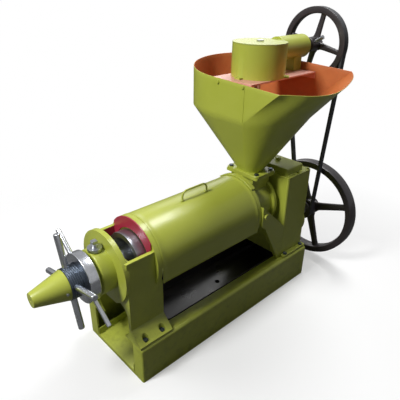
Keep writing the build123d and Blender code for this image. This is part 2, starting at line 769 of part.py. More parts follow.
lid_seat = gearbox_top + seat_gap
lid_y_pitch = 2 * (gearbox_half_width - lid_bolt_side_inset)
lid_x_pitch = gearbox_length - 2 * lid_bolt_inset
gearbox_x = at(gearbox_station + gearbox_length / 2)
hump_x = at(lid_hump_station + lid_hump_length / 2)
with BuildPart() as gearbox_lid:
    with BuildSketch(Plane.XY.offset(lid_seat)) as lid_outline:
        with Locations((gearbox_x, 0)):
            RectangleRounded(gearbox_length, 2 * gearbox_half_width, gearbox_edge_radius)
    extrude(lid_outline.sketch, amount=lid_plate)
    with BuildSketch(Plane.XY.offset(lid_seat)) as hump_outline:
        with Locations((hump_x, 0)):
            RectangleRounded(lid_hump_length, 2 * lid_hump_half_width, lid_edge_radius)
    extrude(hump_outline.sketch, amount=lid_plate + lid_hump_height)
    fillet(gearbox_lid.edges().group_by(Axis.Z)[-1], radius=lid_edge_radius)
    with BuildSketch(Plane.XY.offset(lid_seat)) as hump_inside:
        with Locations((hump_x, 0)):
            Rectangle(lid_hump_length - 2 * lid_hump_wall, 2 * (lid_hump_half_width - lid_hump_wall))
    extrude(hump_inside.sketch, amount=lid_plate + lid_hump_height - lid_hump_wall, mode=Mode.SUBTRACT)

with BuildPart() as lid_bolts:
    bolt_seat = lid_seat + lid_plate + seat_gap
    with BuildSketch(Plane.XY.offset(bolt_seat)) as lid_bolt_heads:
        with Locations((gearbox_x, 0)):
            with GridLocations(lid_x_pitch, lid_y_pitch, 2, 2):
                RegularPolygon(m8_flats / 2, 6, major_radius=False)
            with GridLocations(lid_x_pitch, lid_y_pitch, 1, 2):
                RegularPolygon(m8_flats / 2, 6, major_radius=False)
    extrude(lid_bolt_heads.sketch, amount=m8_head)

with BuildPart() as filler_plug:
    with BuildSketch(Plane.XY.offset(lid_seat + lid_plate + lid_hump_height + seat_gap)) as plug_outline:
        with Locations((at(plug_station), plug_y)):
            RegularPolygon(plug_width / 2, 6, major_radius=False)
    extrude(plug_outline.sketch, amount=plug_height)

# Bearings: one plain ring each, in the two walls of the gearbox.
with BuildPart() as gearbox_bearings:
    shaft_rows = ((input_y, input_z, input_bearing_radius, input_radius),
                  (lay_y, lay_z, lay_bearing_radius, lay_radius),
                  (0, axis_height, quill_bearing_radius, quill_radius))
    for y, z, outer, inner in shaft_rows:
        for station in (gearbox_station + bearing_face_inset + seat_gap,
                        gearbox_rear_station - bearing_face_inset - bearing_width):
            turned([(station, inner + running_gap), (station, outer),
                    (station + bearing_width - seat_gap, outer),
                    (station + bearing_width - seat_gap, inner + running_gap)], y, z)

with BuildPart() as input_cap:
    cap_front = gearbox_rear_station + seat_gap
    turned([(cap_front, input_radius + hole_gap), (cap_front, cap_radius),
            (cap_front + cap_thickness, cap_radius),
            (cap_front + cap_thickness, input_radius + hole_gap)], input_y, input_z)
    fillet(input_cap.edges().filter_by(GeomType.CIRCLE).group_by(Axis.X)[-1].sort_by(SortBy.RADIUS)[-1:],
           radius=cap_bolt_inset / 4)

with BuildPart() as output_cap:
    with BuildSketch(cross_plane(cap_front)) as output_cap_outline:
        with Locations((0, axis_height)):
            Circle(output_cap_radius)
    extrude(output_cap_outline.sketch, amount=output_cap_thickness)

with BuildPart() as cap_bolts:
    with BuildSketch(cross_plane(cap_front + cap_thickness + seat_gap)) as input_cap_heads:
        with Locations((input_y, input_z)):
            with PolarLocations(cap_radius - cap_bolt_inset, cap_bolt_count):
                RegularPolygon(m8_flats / 2, 6, major_radius=False)
    extrude(input_cap_heads.sketch, amount=m8_head)
    with BuildSketch(cross_plane(cap_front + output_cap_thickness + seat_gap)) as output_cap_heads:
        with Locations((0, axis_height)):
            with PolarLocations(output_cap_radius - cap_bolt_inset, cap_bolt_count):
                RegularPolygon(m8_flats / 2, 6, major_radius=False)
    extrude(output_cap_heads.sketch, amount=m8_head)

# Bolts that hold housing and gearbox to the beams: head on the foot, shank through the flange.
with BuildPart() as foot_bolts:
    foot_shank = foot_seat_height + seat_gap + beam_plate + m12_head
    for station, reach in foot_rows:
        for side in (-1, 1):
            with BuildSketch(Plane.XY.offset(base_seat + foot_seat_height + seat_gap)) as foot_head:
                with Locations((at(station), side * reach)):
                    RegularPolygon(m12_flats / 2, 6, major_radius=False)
            extrude(foot_head.sketch, amount=m12_head)
            with BuildSketch(Plane.XY.offset(base_seat + foot_seat_height + seat_gap)) as foot_shanks:
                with Locations((at(station), side * reach)):
                    Circle(m12_radius)
            extrude(foot_shanks.sketch, amount=-foot_shank)

with BuildPart() as arm_bolts:
    for side in (-1, 1):
        face = Plane(origin=(lug_x, side * (gearbox_half_width + seat_gap), axis_height),
                     x_dir=(1, 0, 0), z_dir=(0, side, 0))
        with BuildSketch(face) as arm_head:
            RegularPolygon(m16_flats / 2, 6, major_radius=False)
        extrude(arm_head.sketch, amount=m16_head)
        with BuildSketch(face) as arm_shank:
            Circle(m16_radius)
        extrude(arm_shank.sketch, amount=-arm_thickness - lug_length / 2)

# Gear teeth: involute flanks from the base circle, thinned by the play.
def gear_points(module, teeth, phase):
    """Corner points of a spur gear in its own plane; phase turns a tooth to that angle."""
    pitch_radius = module * teeth / 2
    base_radius = pitch_radius * cos(radians(pressure_angle))
    tip = pitch_radius + module
    root = pitch_radius - 1.25 * module
    half_at_pitch = pi / (2 * teeth) - backlash / (2 * pitch_radius)
    rolled = tan(radians(pressure_angle)) - radians(pressure_angle)
    flank = []
    low = max(root + module / 4, base_radius)
    for share in (0.0, 0.5, 1.0):
        radius = low + share * (tip - low)
        angle = acos(base_radius / radius)
        flank.append((radius, half_at_pitch + rolled - (tan(angle) - angle)))
    flank.insert(0, (root, flank[0][1] + module / (8 * root)))
    points = []
    for tooth in range(teeth):
        center = phase + 2 * pi * tooth / teeth
        for radius, half in flank:
            points.append((radius * cos(center - half), radius * sin(center - half)))
        for radius, half in reversed(flank):
            points.append((radius * cos(center + half), radius * sin(center + half)))
    return points


def gear_x(station, width, module, teeth, phase, y, z):
    """Add a spur gear on a shaft along X."""
    with BuildSketch(cross_plane(station)) as teeth_outline:
        with Locations((y, z)):
            Polygon(*gear_points(module, teeth, phase), align=None)
    extrude(teeth_outline.sketch, amount=width)


mesh_first = atan2(lay_z - input_z, lay_y - input_y)
mesh_second = atan2(axis_height - lay_z, -lay_y)

with BuildPart() as input_shaft:
    disc_x(gearbox_station + bearing_face_inset + hole_gap,
           input_end_station - gearbox_station - bearing_face_inset, input_radius, input_y, input_z)
    gear_x(first_station, first_width, first_module, first_pinion_teeth, mesh_first, input_y, input_z)
    with BuildSketch(Plane(origin=(0, input_y, input_z + input_radius))) as keyway:
        with Locations((at((small_seat_start + big_seat_end) / 2), 0)):
            Rectangle(big_seat_end - small_seat_start, pulley_key_width)
    extrude(keyway.sketch, amount=-pulley_key_height / 2, mode=Mode.SUBTRACT)

with BuildPart() as layshaft:
    disc_x(gearbox_station + bearing_face_inset + hole_gap,
           gearbox_length - 2 * bearing_face_inset - 2 * hole_gap, lay_radius, lay_y, lay_z)
    gear_x(second_station, second_width, second_module, second_pinion_teeth, mesh_second, lay_y, lay_z)

with BuildPart() as layshaft_gear:
    gear_x(first_station, first_width, first_module, first_gear_teeth,
           mesh_first + pi + pi / first_gear_teeth, lay_y, lay_z)
    web_radius = first_module * first_gear_teeth / 2 - 1.25 * first_module - web_rim
    for station in (first_station - overrun, first_station + (first_width + first_web) / 2):
        with BuildSketch(cross_plane(station)) as web_cut:
            with Locations((lay_y, lay_z)):
                Circle(web_radius)
                Circle(lay_radius + hub_wall, mode=Mode.SUBTRACT)
        extrude(web_cut.sketch, amount=(first_width - first_web) / 2 + overrun, mode=Mode.SUBTRACT)
    bore_x(first_station - overrun, first_width + 2 * overrun, lay_radius + fixed_gap, lay_y, lay_z)

with BuildPart() as output_gear:
    quill_start = gearbox_station + bearing_face_inset
    gear_x(second_station, second_width, second_module, second_gear_teeth,
           mesh_second + pi + pi / second_gear_teeth, 0, axis_height)
    web_radius = second_module * second_gear_teeth / 2 - 1.25 * second_module - web_rim
    for station in (second_station - overrun, second_station + (second_width + second_web) / 2):
        with BuildSketch(cross_plane(station)) as output_web_cut:
            with Locations((0, axis_height)):
                Circle(web_radius)
                Circle(quill_radius + hub_wall, mode=Mode.SUBTRACT)
        extrude(output_web_cut.sketch, amount=(second_width - second_web) / 2 + overrun,
                mode=Mode.SUBTRACT)
    disc_x(quill_start, gearbox_length - 2 * bearing_face_inset, quill_radius, 0, axis_height)
    with BuildSketch(cross_plane(quill_start - overrun)) as quill_bore:
        with Locations((0, axis_height)):
            Circle(drive_radius + running_gap)
            Rectangle(shaft_key_width + seat_gap, 2 * (drive_radius + shaft_key_height / 2 + seat_gap))
    extrude(quill_bore.sketch, amount=gearbox_length, mode=Mode.SUBTRACT)

# Press screw: shaft, keys, the worms slid on it, and the cone that meets the outlet ring.
with BuildPart() as press_shaft:
    turned([(journal_station, 0), (journal_station, journal_radius), (screw_front_station, journal_radius),
            (screw_front_station, screw_seat_radius), (screw_rear_station, screw_seat_radius),
            (screw_rear_station, drive_radius), (screw_end_station, drive_radius),
            (screw_end_station, 0)], 0, axis_height)
    key_start = at(screw_end_station - shaft_key_length / 2 - 4 * m8_head)
    with Locations((key_start, 0, axis_height + drive_radius), (key_start, 0, axis_height - drive_radius)):
        Box(shaft_key_length, shaft_key_width, shaft_key_height, mode=Mode.SUBTRACT)

with BuildPart() as screw_keys:
    with Locations((key_start, 0, axis_height + drive_radius), (key_start, 0, axis_height - drive_radius)):
        Box(shaft_key_length - seat_gap, shaft_key_width - seat_gap, shaft_key_height - seat_gap)

with BuildPart() as choke_cone:
    cone_bore = journal_radius + fixed_gap
    turned([(tail_station, cone_bore), (tail_station, tail_radius), (tail_cone_station, tail_radius),
            (screw_front_station - seat_gap, tail_end_radius),
            (screw_front_station - seat_gap, cone_bore)], 0, axis_height)

worm_length = (screw_rear_station - screw_front_station) / flight_count
flight_height = worm_length * flight_turn_share
with BuildPart() as press_worms:
    worm_bore = screw_seat_radius + fixed_gap
    for index in range(flight_count):
        worm_start = screw_front_station + index * worm_length
        turned([(worm_start, worm_bore), (worm_start, screw_root_radius),
                (worm_start + worm_length - seat_gap, screw_root_radius),
                (worm_start + worm_length - seat_gap, worm_bore)], 0, axis_height)
        with BuildLine() as flight_path:
            Helix(pitch=worm_length, height=flight_height, radius=screw_root_radius,
                  center=(at(worm_start + (worm_length - flight_height) / 2), 0, axis_height),
                  direction=(1, 0, 0))
        start = flight_path.wires()[0] @ 0
        heading = flight_path.wires()[0] % 0
        outward = Vector(0, start.Y, start.Z - axis_height)
        with BuildSketch(Plane(origin=start, x_dir=outward, z_dir=heading)) as flight_section:
            with Locations(((screw_flight_radius - screw_root_radius) / 2 - fixed_gap, 0)):
                Rectangle(screw_flight_radius - screw_root_radius + 2 * fixed_gap, flight_thickness)
        sweep(flight_section.sketch, path=flight_path.wires()[0], is_frenet=True)

# Thrust bearing between the adjusting sleeve and the cone of the screw.
race_bore = journal_radius + running_gap
with BuildPart() as thrust_race:
    turned([(race_front_station, race_bore), (race_front_station, sleeve_radius),
            (race_front_station + race_thickness, sleeve_radius),
            (race_front_station + race_thickness, race_bore)], 0, axis_height)

with BuildPart() as thrust_rollers:
    for index in range(roller_count):
        turn = 2 * pi * index / roller_count
        middle = (sleeve_radius + journal_radius) / 2
        direction = Vector(0, cos(turn), sin(turn))
        base_point = Vector(at(roller_station + roller_radius), 0, axis_height) + direction * (
            middle - roller_length / 2)
        with BuildSketch(Plane(origin=base_point, x_dir=(1, 0, 0), z_dir=direction)) as roller_end:
            Circle(roller_radius)
        extrude(roller_end.sketch, amount=roller_length)

with BuildPart() as screw_race:
    turned([(race_rear_station, journal_radius + fixed_gap), (race_rear_station, sleeve_radius - seat_gap),
            (race_rear_station + race_thickness, sleeve_radius - seat_gap),
            (race_rear_station + race_thickness, journal_radius + fixed_gap)], 0, axis_height)

# Adjusting sleeve with its thread, four bars, and the cone cap on its front end.
with BuildPart() as adjusting_sleeve:
    sleeve_outline = [(sleeve_front_station, sleeve_bore_radius), (sleeve_front_station, sleeve_radius)]
    groove = sleeve_front_station + thread_pitch / 2
    sleeve_outline.append((groove, sleeve_radius))
    while groove < lock_front_station - thread_pitch:
        sleeve_outline.append((groove + thread_pitch / 2, sleeve_radius - thread_depth))
        sleeve_outline.append((groove + thread_pitch, sleeve_radius))
        groove = groove + thread_pitch
    sleeve_outline = sleeve_outline + [(sleeve_rear_station, sleeve_radius),
                                       (sleeve_rear_station, sleeve_bore_radius)]
    turned(sleeve_outline, 0, axis_height)
    for index in range(spoke_count):
        lean = radians(bar_lean + index * 360 / spoke_count)
        outward = Vector(0, sin(lean), cos(lean))
        hole_plane = Plane(origin=Vector(at(bar_station), 0, axis_height) + outward * bar_root,
                           x_dir=(1, 0, 0), z_dir=outward)
        with BuildSketch(hole_plane) as bar_hole:
            Circle(bar_radius + fixed_gap)
        extrude(bar_hole.sketch, amount=bar_reach, mode=Mode.SUBTRACT)

with BuildPart() as sleeve_bars:
    for index in range(spoke_count):
        lean = radians(bar_lean + index * 360 / spoke_count)
        outward = Vector(0, sin(lean), cos(lean))
        bar_plane = Plane(origin=Vector(at(bar_station), 0, axis_height) + outward * bar_root,
                          x_dir=(1, 0, 0), z_dir=outward)
        with BuildSketch(bar_plane) as bar_end:
            Circle(bar_radius)
        extrude(bar_end.sketch, amount=bar_reach - bar_root)
    fillet(sleeve_bars.edges().filter_by(GeomType.CIRCLE), radius=bar_radius / 8)

cone_front = sleeve_front_station - cone_length
cone_rear = sleeve_front_station - seat_gap
with BuildPart() as cone_cap:
    turned([(cone_front, cone_small_radius - cone_wall), (cone_front, cone_small_radius),
            (cone_rear, cone_large_radius), (cone_rear, cone_large_radius - cone_wall)],
           0, axis_height)
    with Locations(Location((at(cone_rear - cone_screw_inset), -cone_large_radius, axis_height), (90, 0, 0))):
        Cylinder(cone_screw_radius + fixed_gap, 4 * cone_wall, mode=Mode.SUBTRACT)

with BuildPart() as cone_screw:
    screw_face = -(cone_large_radius - 2 * cone_wall)
    screw_plane = Plane(origin=(at(cone_rear - cone_screw_inset), screw_face, axis_height),
                        x_dir=(1, 0, 0), z_dir=(0, -1, 0))
    with BuildSketch(screw_plane) as cone_screw_end:
        Circle(cone_screw_radius)
    extrude(cone_screw_end.sketch, amount=2 * cone_wall)

# Lock ring on the sleeve, turned by two bars on one line.
with BuildPart() as lock_ring:
    lock_rear = lock_front_station + lock_width
    turned([(lock_front_station, line_clear), (lock_front_station, lock_radius),
            (lock_rear, lock_radius), (lock_rear, line_clear)], 0, axis_height)
    fillet(lock_ring.edges().filter_by(GeomType.CIRCLE).sort_by(SortBy.RADIUS)[-2:],
           radius=lock_edge_radius)
    lean = radians(lock_bar_lean)
    lock_x = at(lock_front_station + lock_width / 2)
    for side in (-1, 1):
        outward = Vector(0, side * sin(lean), side * cos(lean))
        lock_plane = Plane(origin=Vector(lock_x, 0, axis_height) + outward * lock_bar_root,
                           x_dir=(1, 0, 0), z_dir=outward)
        with BuildSketch(lock_plane) as lock_hole:
            Circle(lock_bar_radius + fixed_gap)
        extrude(lock_hole.sketch, amount=lock_radius, mode=Mode.SUBTRACT)

with BuildPart() as lock_bars:
    for side in (-1, 1):
        outward = Vector(0, side * sin(lean), side * cos(lean))
        lock_plane = Plane(origin=Vector(lock_x, 0, axis_height) + outward * lock_bar_root,
                           x_dir=(1, 0, 0), z_dir=outward)
        with BuildSketch(lock_plane) as lock_bar_end:
            Circle(lock_bar_radius)
        extrude(lock_bar_end.sketch, amount=lock_bar_reach - lock_bar_root)
    fillet(lock_bars.edges().filter_by(GeomType.CIRCLE), radius=lock_bar_radius / 8)


def spoked_wheel(station, width, radius, rim_depth, hub_radius, bore, y, z, angle, spoke_width,
                 spoke_thickness):
    """A rim, a hub and tapered spokes; the bore is cut last."""
    with BuildSketch(cross_plane(station)) as rim:
        with Locations((y, z)):
            Circle(radius)
            Circle(radius - rim_depth, mode=Mode.SUBTRACT)
    extrude(rim.sketch, amount=width)
    with BuildSketch(cross_plane(station)) as hub:
        with Locations((y, z)):
            Circle(hub_radius)
    extrude(hub.sketch, amount=width)
    with BuildSketch(cross_plane(station + (width - spoke_thickness) / 2)) as spokes:
        with Locations((y, z)):
            with PolarLocations(0, spoke_count, angle):
                Polygon((hub_radius / 2, -spoke_width / 2),
                        (radius - rim_depth / 2, -spoke_width * spoke_taper_share / 2),
                        (radius - rim_depth / 2, spoke_width * spoke_taper_share / 2),
                        (hub_radius / 2, spoke_width / 2), align=None)
    extrude(spokes.sketch, amount=spoke_thickness)
    bore_x(station - overrun, width + 2 * overrun, bore, y, z)


def cut_groove(station, radius, y, z):
    """Cut a belt groove, a little wider and deeper than the belt, round a pulley."""
    half_top = belt_top_width / 2 + seat_gap
    half_bottom = belt_bottom_width / 2 + seat_gap
    depth = belt_height + belt_floor_gap
    with BuildSketch(side_plane(y, z)) as groove_section:
        with BuildLine():
            Polyline((station - half_top, radius + overrun), (station - half_top, radius),
                     (station - half_bottom, radius - belt_height), (station - half_bottom, radius - depth),
                     (station + half_bottom, radius - depth), (station + half_bottom, radius - belt_height),
                     (station + half_top, radius), (station + half_top, radius + overrun), close=True)
        make_face()
    revolve(groove_section.sketch, Axis((0, y, z), (1, 0, 0)), mode=Mode.SUBTRACT)


# Drive pulley for the feeder belt and the big driven pulley, keyed to the input shaft.
with BuildPart() as belt_pulley:
    disc_x(belt_station - small_pulley_width / 2, small_pulley_width, small_pulley_radius, input_y, input_z)
    cut_groove(belt_station, small_pulley_radius, input_y, input_z)
    bore_x(belt_station - small_pulley_width, 2 * small_pulley_width, input_radius + fixed_gap,
           input_y, input_z)
    with Locations((at(belt_station), input_y, input_z + input_radius)):
        Box(2 * small_pulley_width, pulley_key_width + seat_gap, pulley_key_height + seat_gap,
            mode=Mode.SUBTRACT)

with BuildPart() as big_pulley:
    spoked_wheel(big_wheel_station, big_wheel_width, big_wheel_radius, big_rim_depth, big_hub_radius,
                 input_radius + fixed_gap, input_y, input_z, big_spoke_angle, big_spoke_width,
                 big_spoke_thickness)
    with Locations((at(big_wheel_station + big_wheel_width / 2), input_y, input_z + input_radius)):
        Box(2 * big_wheel_width, pulley_key_width + seat_gap, pulley_key_height + seat_gap,
            mode=Mode.SUBTRACT)

with BuildPart() as pulley_key:
    with Locations((at((small_seat_start + big_seat_end) / 2), input_y, input_z + input_radius)):
        Box(big_seat_end - small_seat_start - seat_gap, pulley_key_width - seat_gap,
            pulley_key_height - seat_gap)

with BuildPart() as pulley_washer:
    disc_x(big_seat_end + seat_gap, end_washer_thickness, end_washer_radius, input_y, input_z)
    with BuildSketch(cross_plane(big_seat_end + seat_gap + end_washer_thickness)) as end_head:
        with Locations((input_y, input_z)):
            RegularPolygon(m16_flats / 2, 6, major_radius=False)
    extrude(end_head.sketch, amount=m16_head)

# Feeder wheel with its hub bolt.
with BuildPart() as feeder_wheel:
    spoked_wheel(belt_station - feeder_wheel_width / 2, feeder_wheel_width, feeder_wheel_radius,
                 feeder_rim_depth, feeder_hub_radius, feeder_shaft_radius + fixed_gap, 0,
                 feeder_axis_height, feeder_spoke_angle, feeder_spoke_width, feeder_spoke_thickness)
    disc_x(belt_station - feeder_hub_length, feeder_hub_length, feeder_hub_radius, 0, feeder_axis_height)
    bore_x(belt_station - feeder_hub_length - overrun, feeder_hub_length + 2 * overrun,
           feeder_shaft_radius + fixed_gap, 0, feeder_axis_height)
    cut_groove(belt_station, feeder_wheel_radius, 0, feeder_axis_height)

with BuildPart() as hub_bolt:
    turn = radians(set_bolt_angle)
    outward = Vector(0, cos(turn), sin(turn))
    bolt_x = at(belt_station - feeder_hub_length + feeder_hub_radius / 2)
    bolt_plane = Plane(origin=Vector(bolt_x, 0, feeder_axis_height) + outward * feeder_hub_radius,
                       x_dir=(1, 0, 0), z_dir=outward)
    with BuildSketch(bolt_plane) as hub_bolt_shank:
        Circle(set_bolt_radius)
    extrude(hub_bolt_shank.sketch, amount=set_bolt_length)
    with BuildSketch(bolt_plane.offset(set_bolt_length)) as hub_bolt_head:
        RegularPolygon(set_bolt_head_width / 2, 6, major_radius=False)
    extrude(hub_bolt_head.sketch, amount=set_bolt_head_height)

# Belt: two straight runs and the two arcs where it lies in the grooves.
span = sqrt(input_y ** 2 + (feeder_axis_height - input_z) ** 2)
center_angle = degrees(atan2(feeder_axis_height - input_z, -input_y))
side_angle = degrees(acos((small_pulley_radius - feeder_wheel_radius) / span))
run_length = sqrt(span ** 2 - (feeder_wheel_radius - small_pulley_radius) ** 2)
with BuildPart() as feeder_belt:
    for sign in (-1, 1):
        radial_angle = radians(center_angle + sign * side_angle)
        radial = Vector(0, cos(radial_angle), sin(radial_angle))
        leaving = Vector(0, sign * sin(radial_angle), -sign * cos(radial_angle))
        foot = Vector(at(belt_station), input_y, input_z) + radial * small_pulley_radius
        with BuildSketch(Plane(origin=foot, x_dir=(1, 0, 0), z_dir=leaving)) as run_section:
            inward = (run_section.workplanes[0].to_local_coords(foot - radial)).Y
            with BuildLine():
                Polyline((-belt_top_width / 2, 0), (belt_top_width / 2, 0),
                         (belt_bottom_width / 2, inward * belt_height),
                         (-belt_bottom_width / 2, inward * belt_height), close=True)
            make_face()
        extrude(run_section.sketch, amount=run_length)
    wraps = ((small_pulley_radius, input_y, input_z, center_angle + side_angle, 360 - 2 * side_angle),
             (feeder_wheel_radius, 0, feeder_axis_height, center_angle - side_angle, 2 * side_angle))
    for radius, y, z, start_angle, sweep_angle in wraps:
        turn = radians(start_angle)
        radial = Vector(0, cos(turn), sin(turn))
        origin = Vector(at(belt_station), y, z)
        arc_plane = Plane(origin=origin, x_dir=radial, z_dir=radial.cross(Vector(1, 0, 0)))
        with BuildSketch(arc_plane) as arc_section:
            with BuildLine():
                Polyline((radius, -belt_top_width / 2), (radius, belt_top_width / 2),
                         (radius - belt_height, belt_bottom_width / 2),
                         (radius - belt_height, -belt_bottom_width / 2), close=True)
            make_face()
        revolve(arc_section.sketch, Axis(origin, (1, 0, 0)), revolution_arc=sweep_angle)


def hopper_outline(center_station, half_length, far_y, far_reach, back_y, front_y, near_points, inset=0.0,
                   mode=Mode.ADD):
    """Outline with straight front and back, a half ellipse on the far side and a curve through the
    near points, which meets the front and the back at a corner."""
    half = half_length - inset
    with BuildLine() as outline:
        front_near = (at(center_station) - half, front_y)
        back_near = (at(center_station) + half, back_y)
        Line(front_near, (at(center_station) - half, far_y))
        EllipticalCenterArc((at(center_station), far_y), half, far_reach - inset, start_angle=0,
                            arc_size=half_turn)
        Line((at(center_station) + half, far_y), back_near)
        Spline(back_near, *[(at(station), y + inset) for station, y in near_points], front_near)
    make_face(outline.edges(), mode=mode)


# Hopper: a cone below, an upright band on the far side and a wall that flares on the near side.
hopper_seat = throat_height + throat_plate + seat_gap
cone_foot = hopper_seat + hopper_plate
rim_back_height = rim_front_height + 2 * hopper_half_length * tan(radians(rim_slope))
with BuildPart() as hopper:
    for inset, mode in ((0, Mode.ADD), (hopper_sheet, Mode.SUBTRACT)):
        with BuildSketch(Plane.XY.offset(cone_foot)) as cone_low:
            hopper_outline(feed_axis_station, throat_half_length, throat_round, throat_half_width,
                           -throat_round, -throat_round, throat_near_points, inset)
        with BuildSketch(Plane.XY.offset(hopper_fold_height)) as cone_high:
            hopper_outline(hopper_center_station, hopper_half_length, hopper_round_y,
                           hopper_round_reach, hopper_fold_y, hopper_fold_y, fold_near_points, inset)
        loft(sections=[cone_low.sketch, cone_high.sketch], ruled=True, mode=mode)
        with BuildSketch(Plane.XY.offset(hopper_fold_height)) as wall_low:
            hopper_outline(hopper_center_station, hopper_half_length, hopper_round_y,
                           hopper_round_reach, hopper_fold_y, hopper_fold_y, fold_near_points, inset)
        with BuildSketch(Plane.XY.offset(rim_back_height)) as wall_high:
            hopper_outline(hopper_center_station, hopper_half_length, hopper_round_y,
                           hopper_round_reach, hopper_rim_back_y, hopper_rim_front_y, rim_near_points,
                           inset)
        loft(sections=[wall_low.sketch, wall_high.sketch], ruled=True, mode=mode)
    with BuildSketch(Plane(origin=(at(hopper_center_station), 3 * base_width, 0), x_dir=(1, 0, 0),
                           z_dir=(0, -1, 0))) as above_rim:
        with BuildLine():
            rise = (hopper_half_length + overrun) * tan(radians(rim_slope))
            middle_height = (rim_front_height + rim_back_height) / 2
            Polyline((-hopper_half_length - overrun, middle_height - rise),
                     (hopper_half_length + overrun, middle_height + rise),
                     (hopper_half_length + overrun, rim_back_height + base_height),
                     (-hopper_half_length - overrun, rim_back_height + base_height), close=True)
        make_face()
    extrude(above_rim.sketch, amount=6 * base_width, mode=Mode.SUBTRACT)
    with BuildSketch(Plane.XY.offset(hopper_seat)) as hopper_foot:
        with Locations((feed_x, 0)):
            RectangleRounded(throat_plate_length, throat_plate_width, throat_plate)
        hopper_outline(feed_axis_station, throat_half_length, throat_round, throat_half_width,
                       -throat_round, -throat_round, throat_near_points, hopper_sheet)
        hopper_outline(feed_axis_station, throat_half_length, throat_round, throat_half_width,
                       -throat_round, -throat_round, throat_near_points, hopper_sheet, Mode.SUBTRACT)
        with Locations((feed_x, 0)):
            with GridLocations(throat_bolt_x, throat_bolt_y, 2, 2):
                Circle(m12_radius + hole_gap, mode=Mode.SUBTRACT)
    extrude(hopper_foot.sketch, amount=hopper_plate)
    front_wall_x = at(hopper_center_station - hopper_half_length)
    back_wall_x = at(hopper_center_station + hopper_half_length)
    tab_z = bridge_height - bridge_tab / 2
    for wall_x in (front_wall_x, back_wall_x):
        for y in (-bridge_bolt_y, bridge_bolt_y):
            with Locations(Location((wall_x, y, tab_z), (0, 90, 0))):
                Cylinder(m8_radius + hole_gap, 4 * bridge_bolt_head, mode=Mode.SUBTRACT)

with BuildPart() as throat_bolts:
    head_seat = cone_foot + seat_gap
    with BuildSketch(Plane.XY.offset(head_seat)) as throat_heads:
        with Locations((feed_x, 0)):
            with GridLocations(throat_bolt_x, throat_bolt_y, 2, 2):
                RegularPolygon(m12_flats / 2, 6, major_radius=False)
    extrude(throat_heads.sketch, amount=m12_head)
    with BuildSketch(Plane.XY.offset(head_seat)) as throat_shanks:
        with Locations((feed_x, 0)):
            with GridLocations(throat_bolt_x, throat_bolt_y, 2, 2):
                Circle(m12_radius)
    extrude(throat_shanks.sketch, amount=-hopper_plate - throat_plate - m12_head)

# Bridge plate across the hopper, with a bent tab at each end bolted to the hopper wall.
bridge_front_x = front_wall_x + hopper_sheet + seat_gap
bridge_back_x = back_wall_x - hopper_sheet - seat_gap
with BuildPart() as bridge_plate:
    bridge_middle = (bridge_front_x + bridge_back_x) / 2
    with Locations((bridge_middle, 0, bridge_height - bridge_plate_thickness / 2)):
        Box(bridge_back_x - bridge_front_x, bridge_width, bridge_plate_thickness)
    for tab_x, align in ((bridge_front_x, Align.MIN), (bridge_back_x, Align.MAX)):
        with Locations((tab_x, 0, bridge_height)):
            Box(bridge_plate_thickness, bridge_width, bridge_tab, align=(align, Align.CENTER, Align.MAX))
    with Locations((feed_x, 0, bridge_height)):
        Cylinder(auger_shaft_radius + running_gap, 2 * bridge_tab, mode=Mode.SUBTRACT)
    for tab_x in (bridge_front_x, bridge_back_x):
        for y in (-bridge_bolt_y, bridge_bolt_y):
            with Locations(Location((tab_x, y, tab_z), (0, 90, 0))):
                Cylinder(m8_radius + hole_gap, 4 * bridge_plate_thickness, mode=Mode.SUBTRACT)

with BuildPart() as bridge_bolts:
    for wall_x, side in ((front_wall_x - seat_gap, -1), (back_wall_x + seat_gap, 1)):
        for y in (-bridge_bolt_y, bridge_bolt_y):
            bolt_plane = Plane(origin=(wall_x, y, tab_z), x_dir=(0, 1, 0), z_dir=(side, 0, 0))
            with BuildSketch(bolt_plane) as bridge_head:
                RegularPolygon(m8_flats / 2, 6, major_radius=False)
            extrude(bridge_head.sketch, amount=bridge_bolt_head)
            with BuildSketch(bolt_plane) as bridge_shank:
                Circle(m8_radius)
            extrude(bridge_shank.sketch, amount=-hopper_sheet - bridge_plate_thickness - m8_head)

# Feeder gear housing on the bridge: a drum with three feet and a lid, and the shaft tube.
drum_seat = bridge_height + seat_gap
drum_top = bridge_height + drum_height - drum_lid - seat_gap
with BuildPart() as feeder_housing:
    with BuildSketch(Plane.XY.offset(drum_seat)) as drum_outline:
        with Locations((feed_x, 0)):
            Circle(drum_radius)
    extrude(drum_outline.sketch, amount=drum_top - drum_seat)
    with BuildSketch(Plane.XY.offset(drum_seat)) as drum_feet:
        with Locations((feed_x, 0)):
            with PolarLocations(0, ear_count, half_turn):
                with Locations((drum_radius + ear_reach / 2 - overrun, 0)):
                    Rectangle(ear_reach + 2 * overrun, ear_width)
    extrude(drum_feet.sketch, amount=ear_thickness)
    with BuildSketch(Plane.XY.offset(drum_seat + drum_wall)) as drum_inside:
        with Locations((feed_x, 0)):
            Circle(drum_radius - drum_wall)
    extrude(drum_inside.sketch, amount=drum_height, mode=Mode.SUBTRACT)
    with Locations((feed_x, 0, drum_seat)):
        Cylinder(auger_shaft_radius + hole_gap, 3 * drum_wall, mode=Mode.SUBTRACT)
    tube_seat = feed_axis_station + drum_radius - drum_wall / 2
    bore_x(tube_seat - drum_wall, 3 * drum_wall, tube_bore_radius, 0, feeder_axis_height)
    with BuildSketch(cross_plane(tube_seat)) as tube_notch:
        with Locations((0, feeder_axis_height)):
            Circle(tube_radius + seat_gap)
    extrude(tube_notch.sketch, amount=2 * drum_wall, mode=Mode.SUBTRACT)

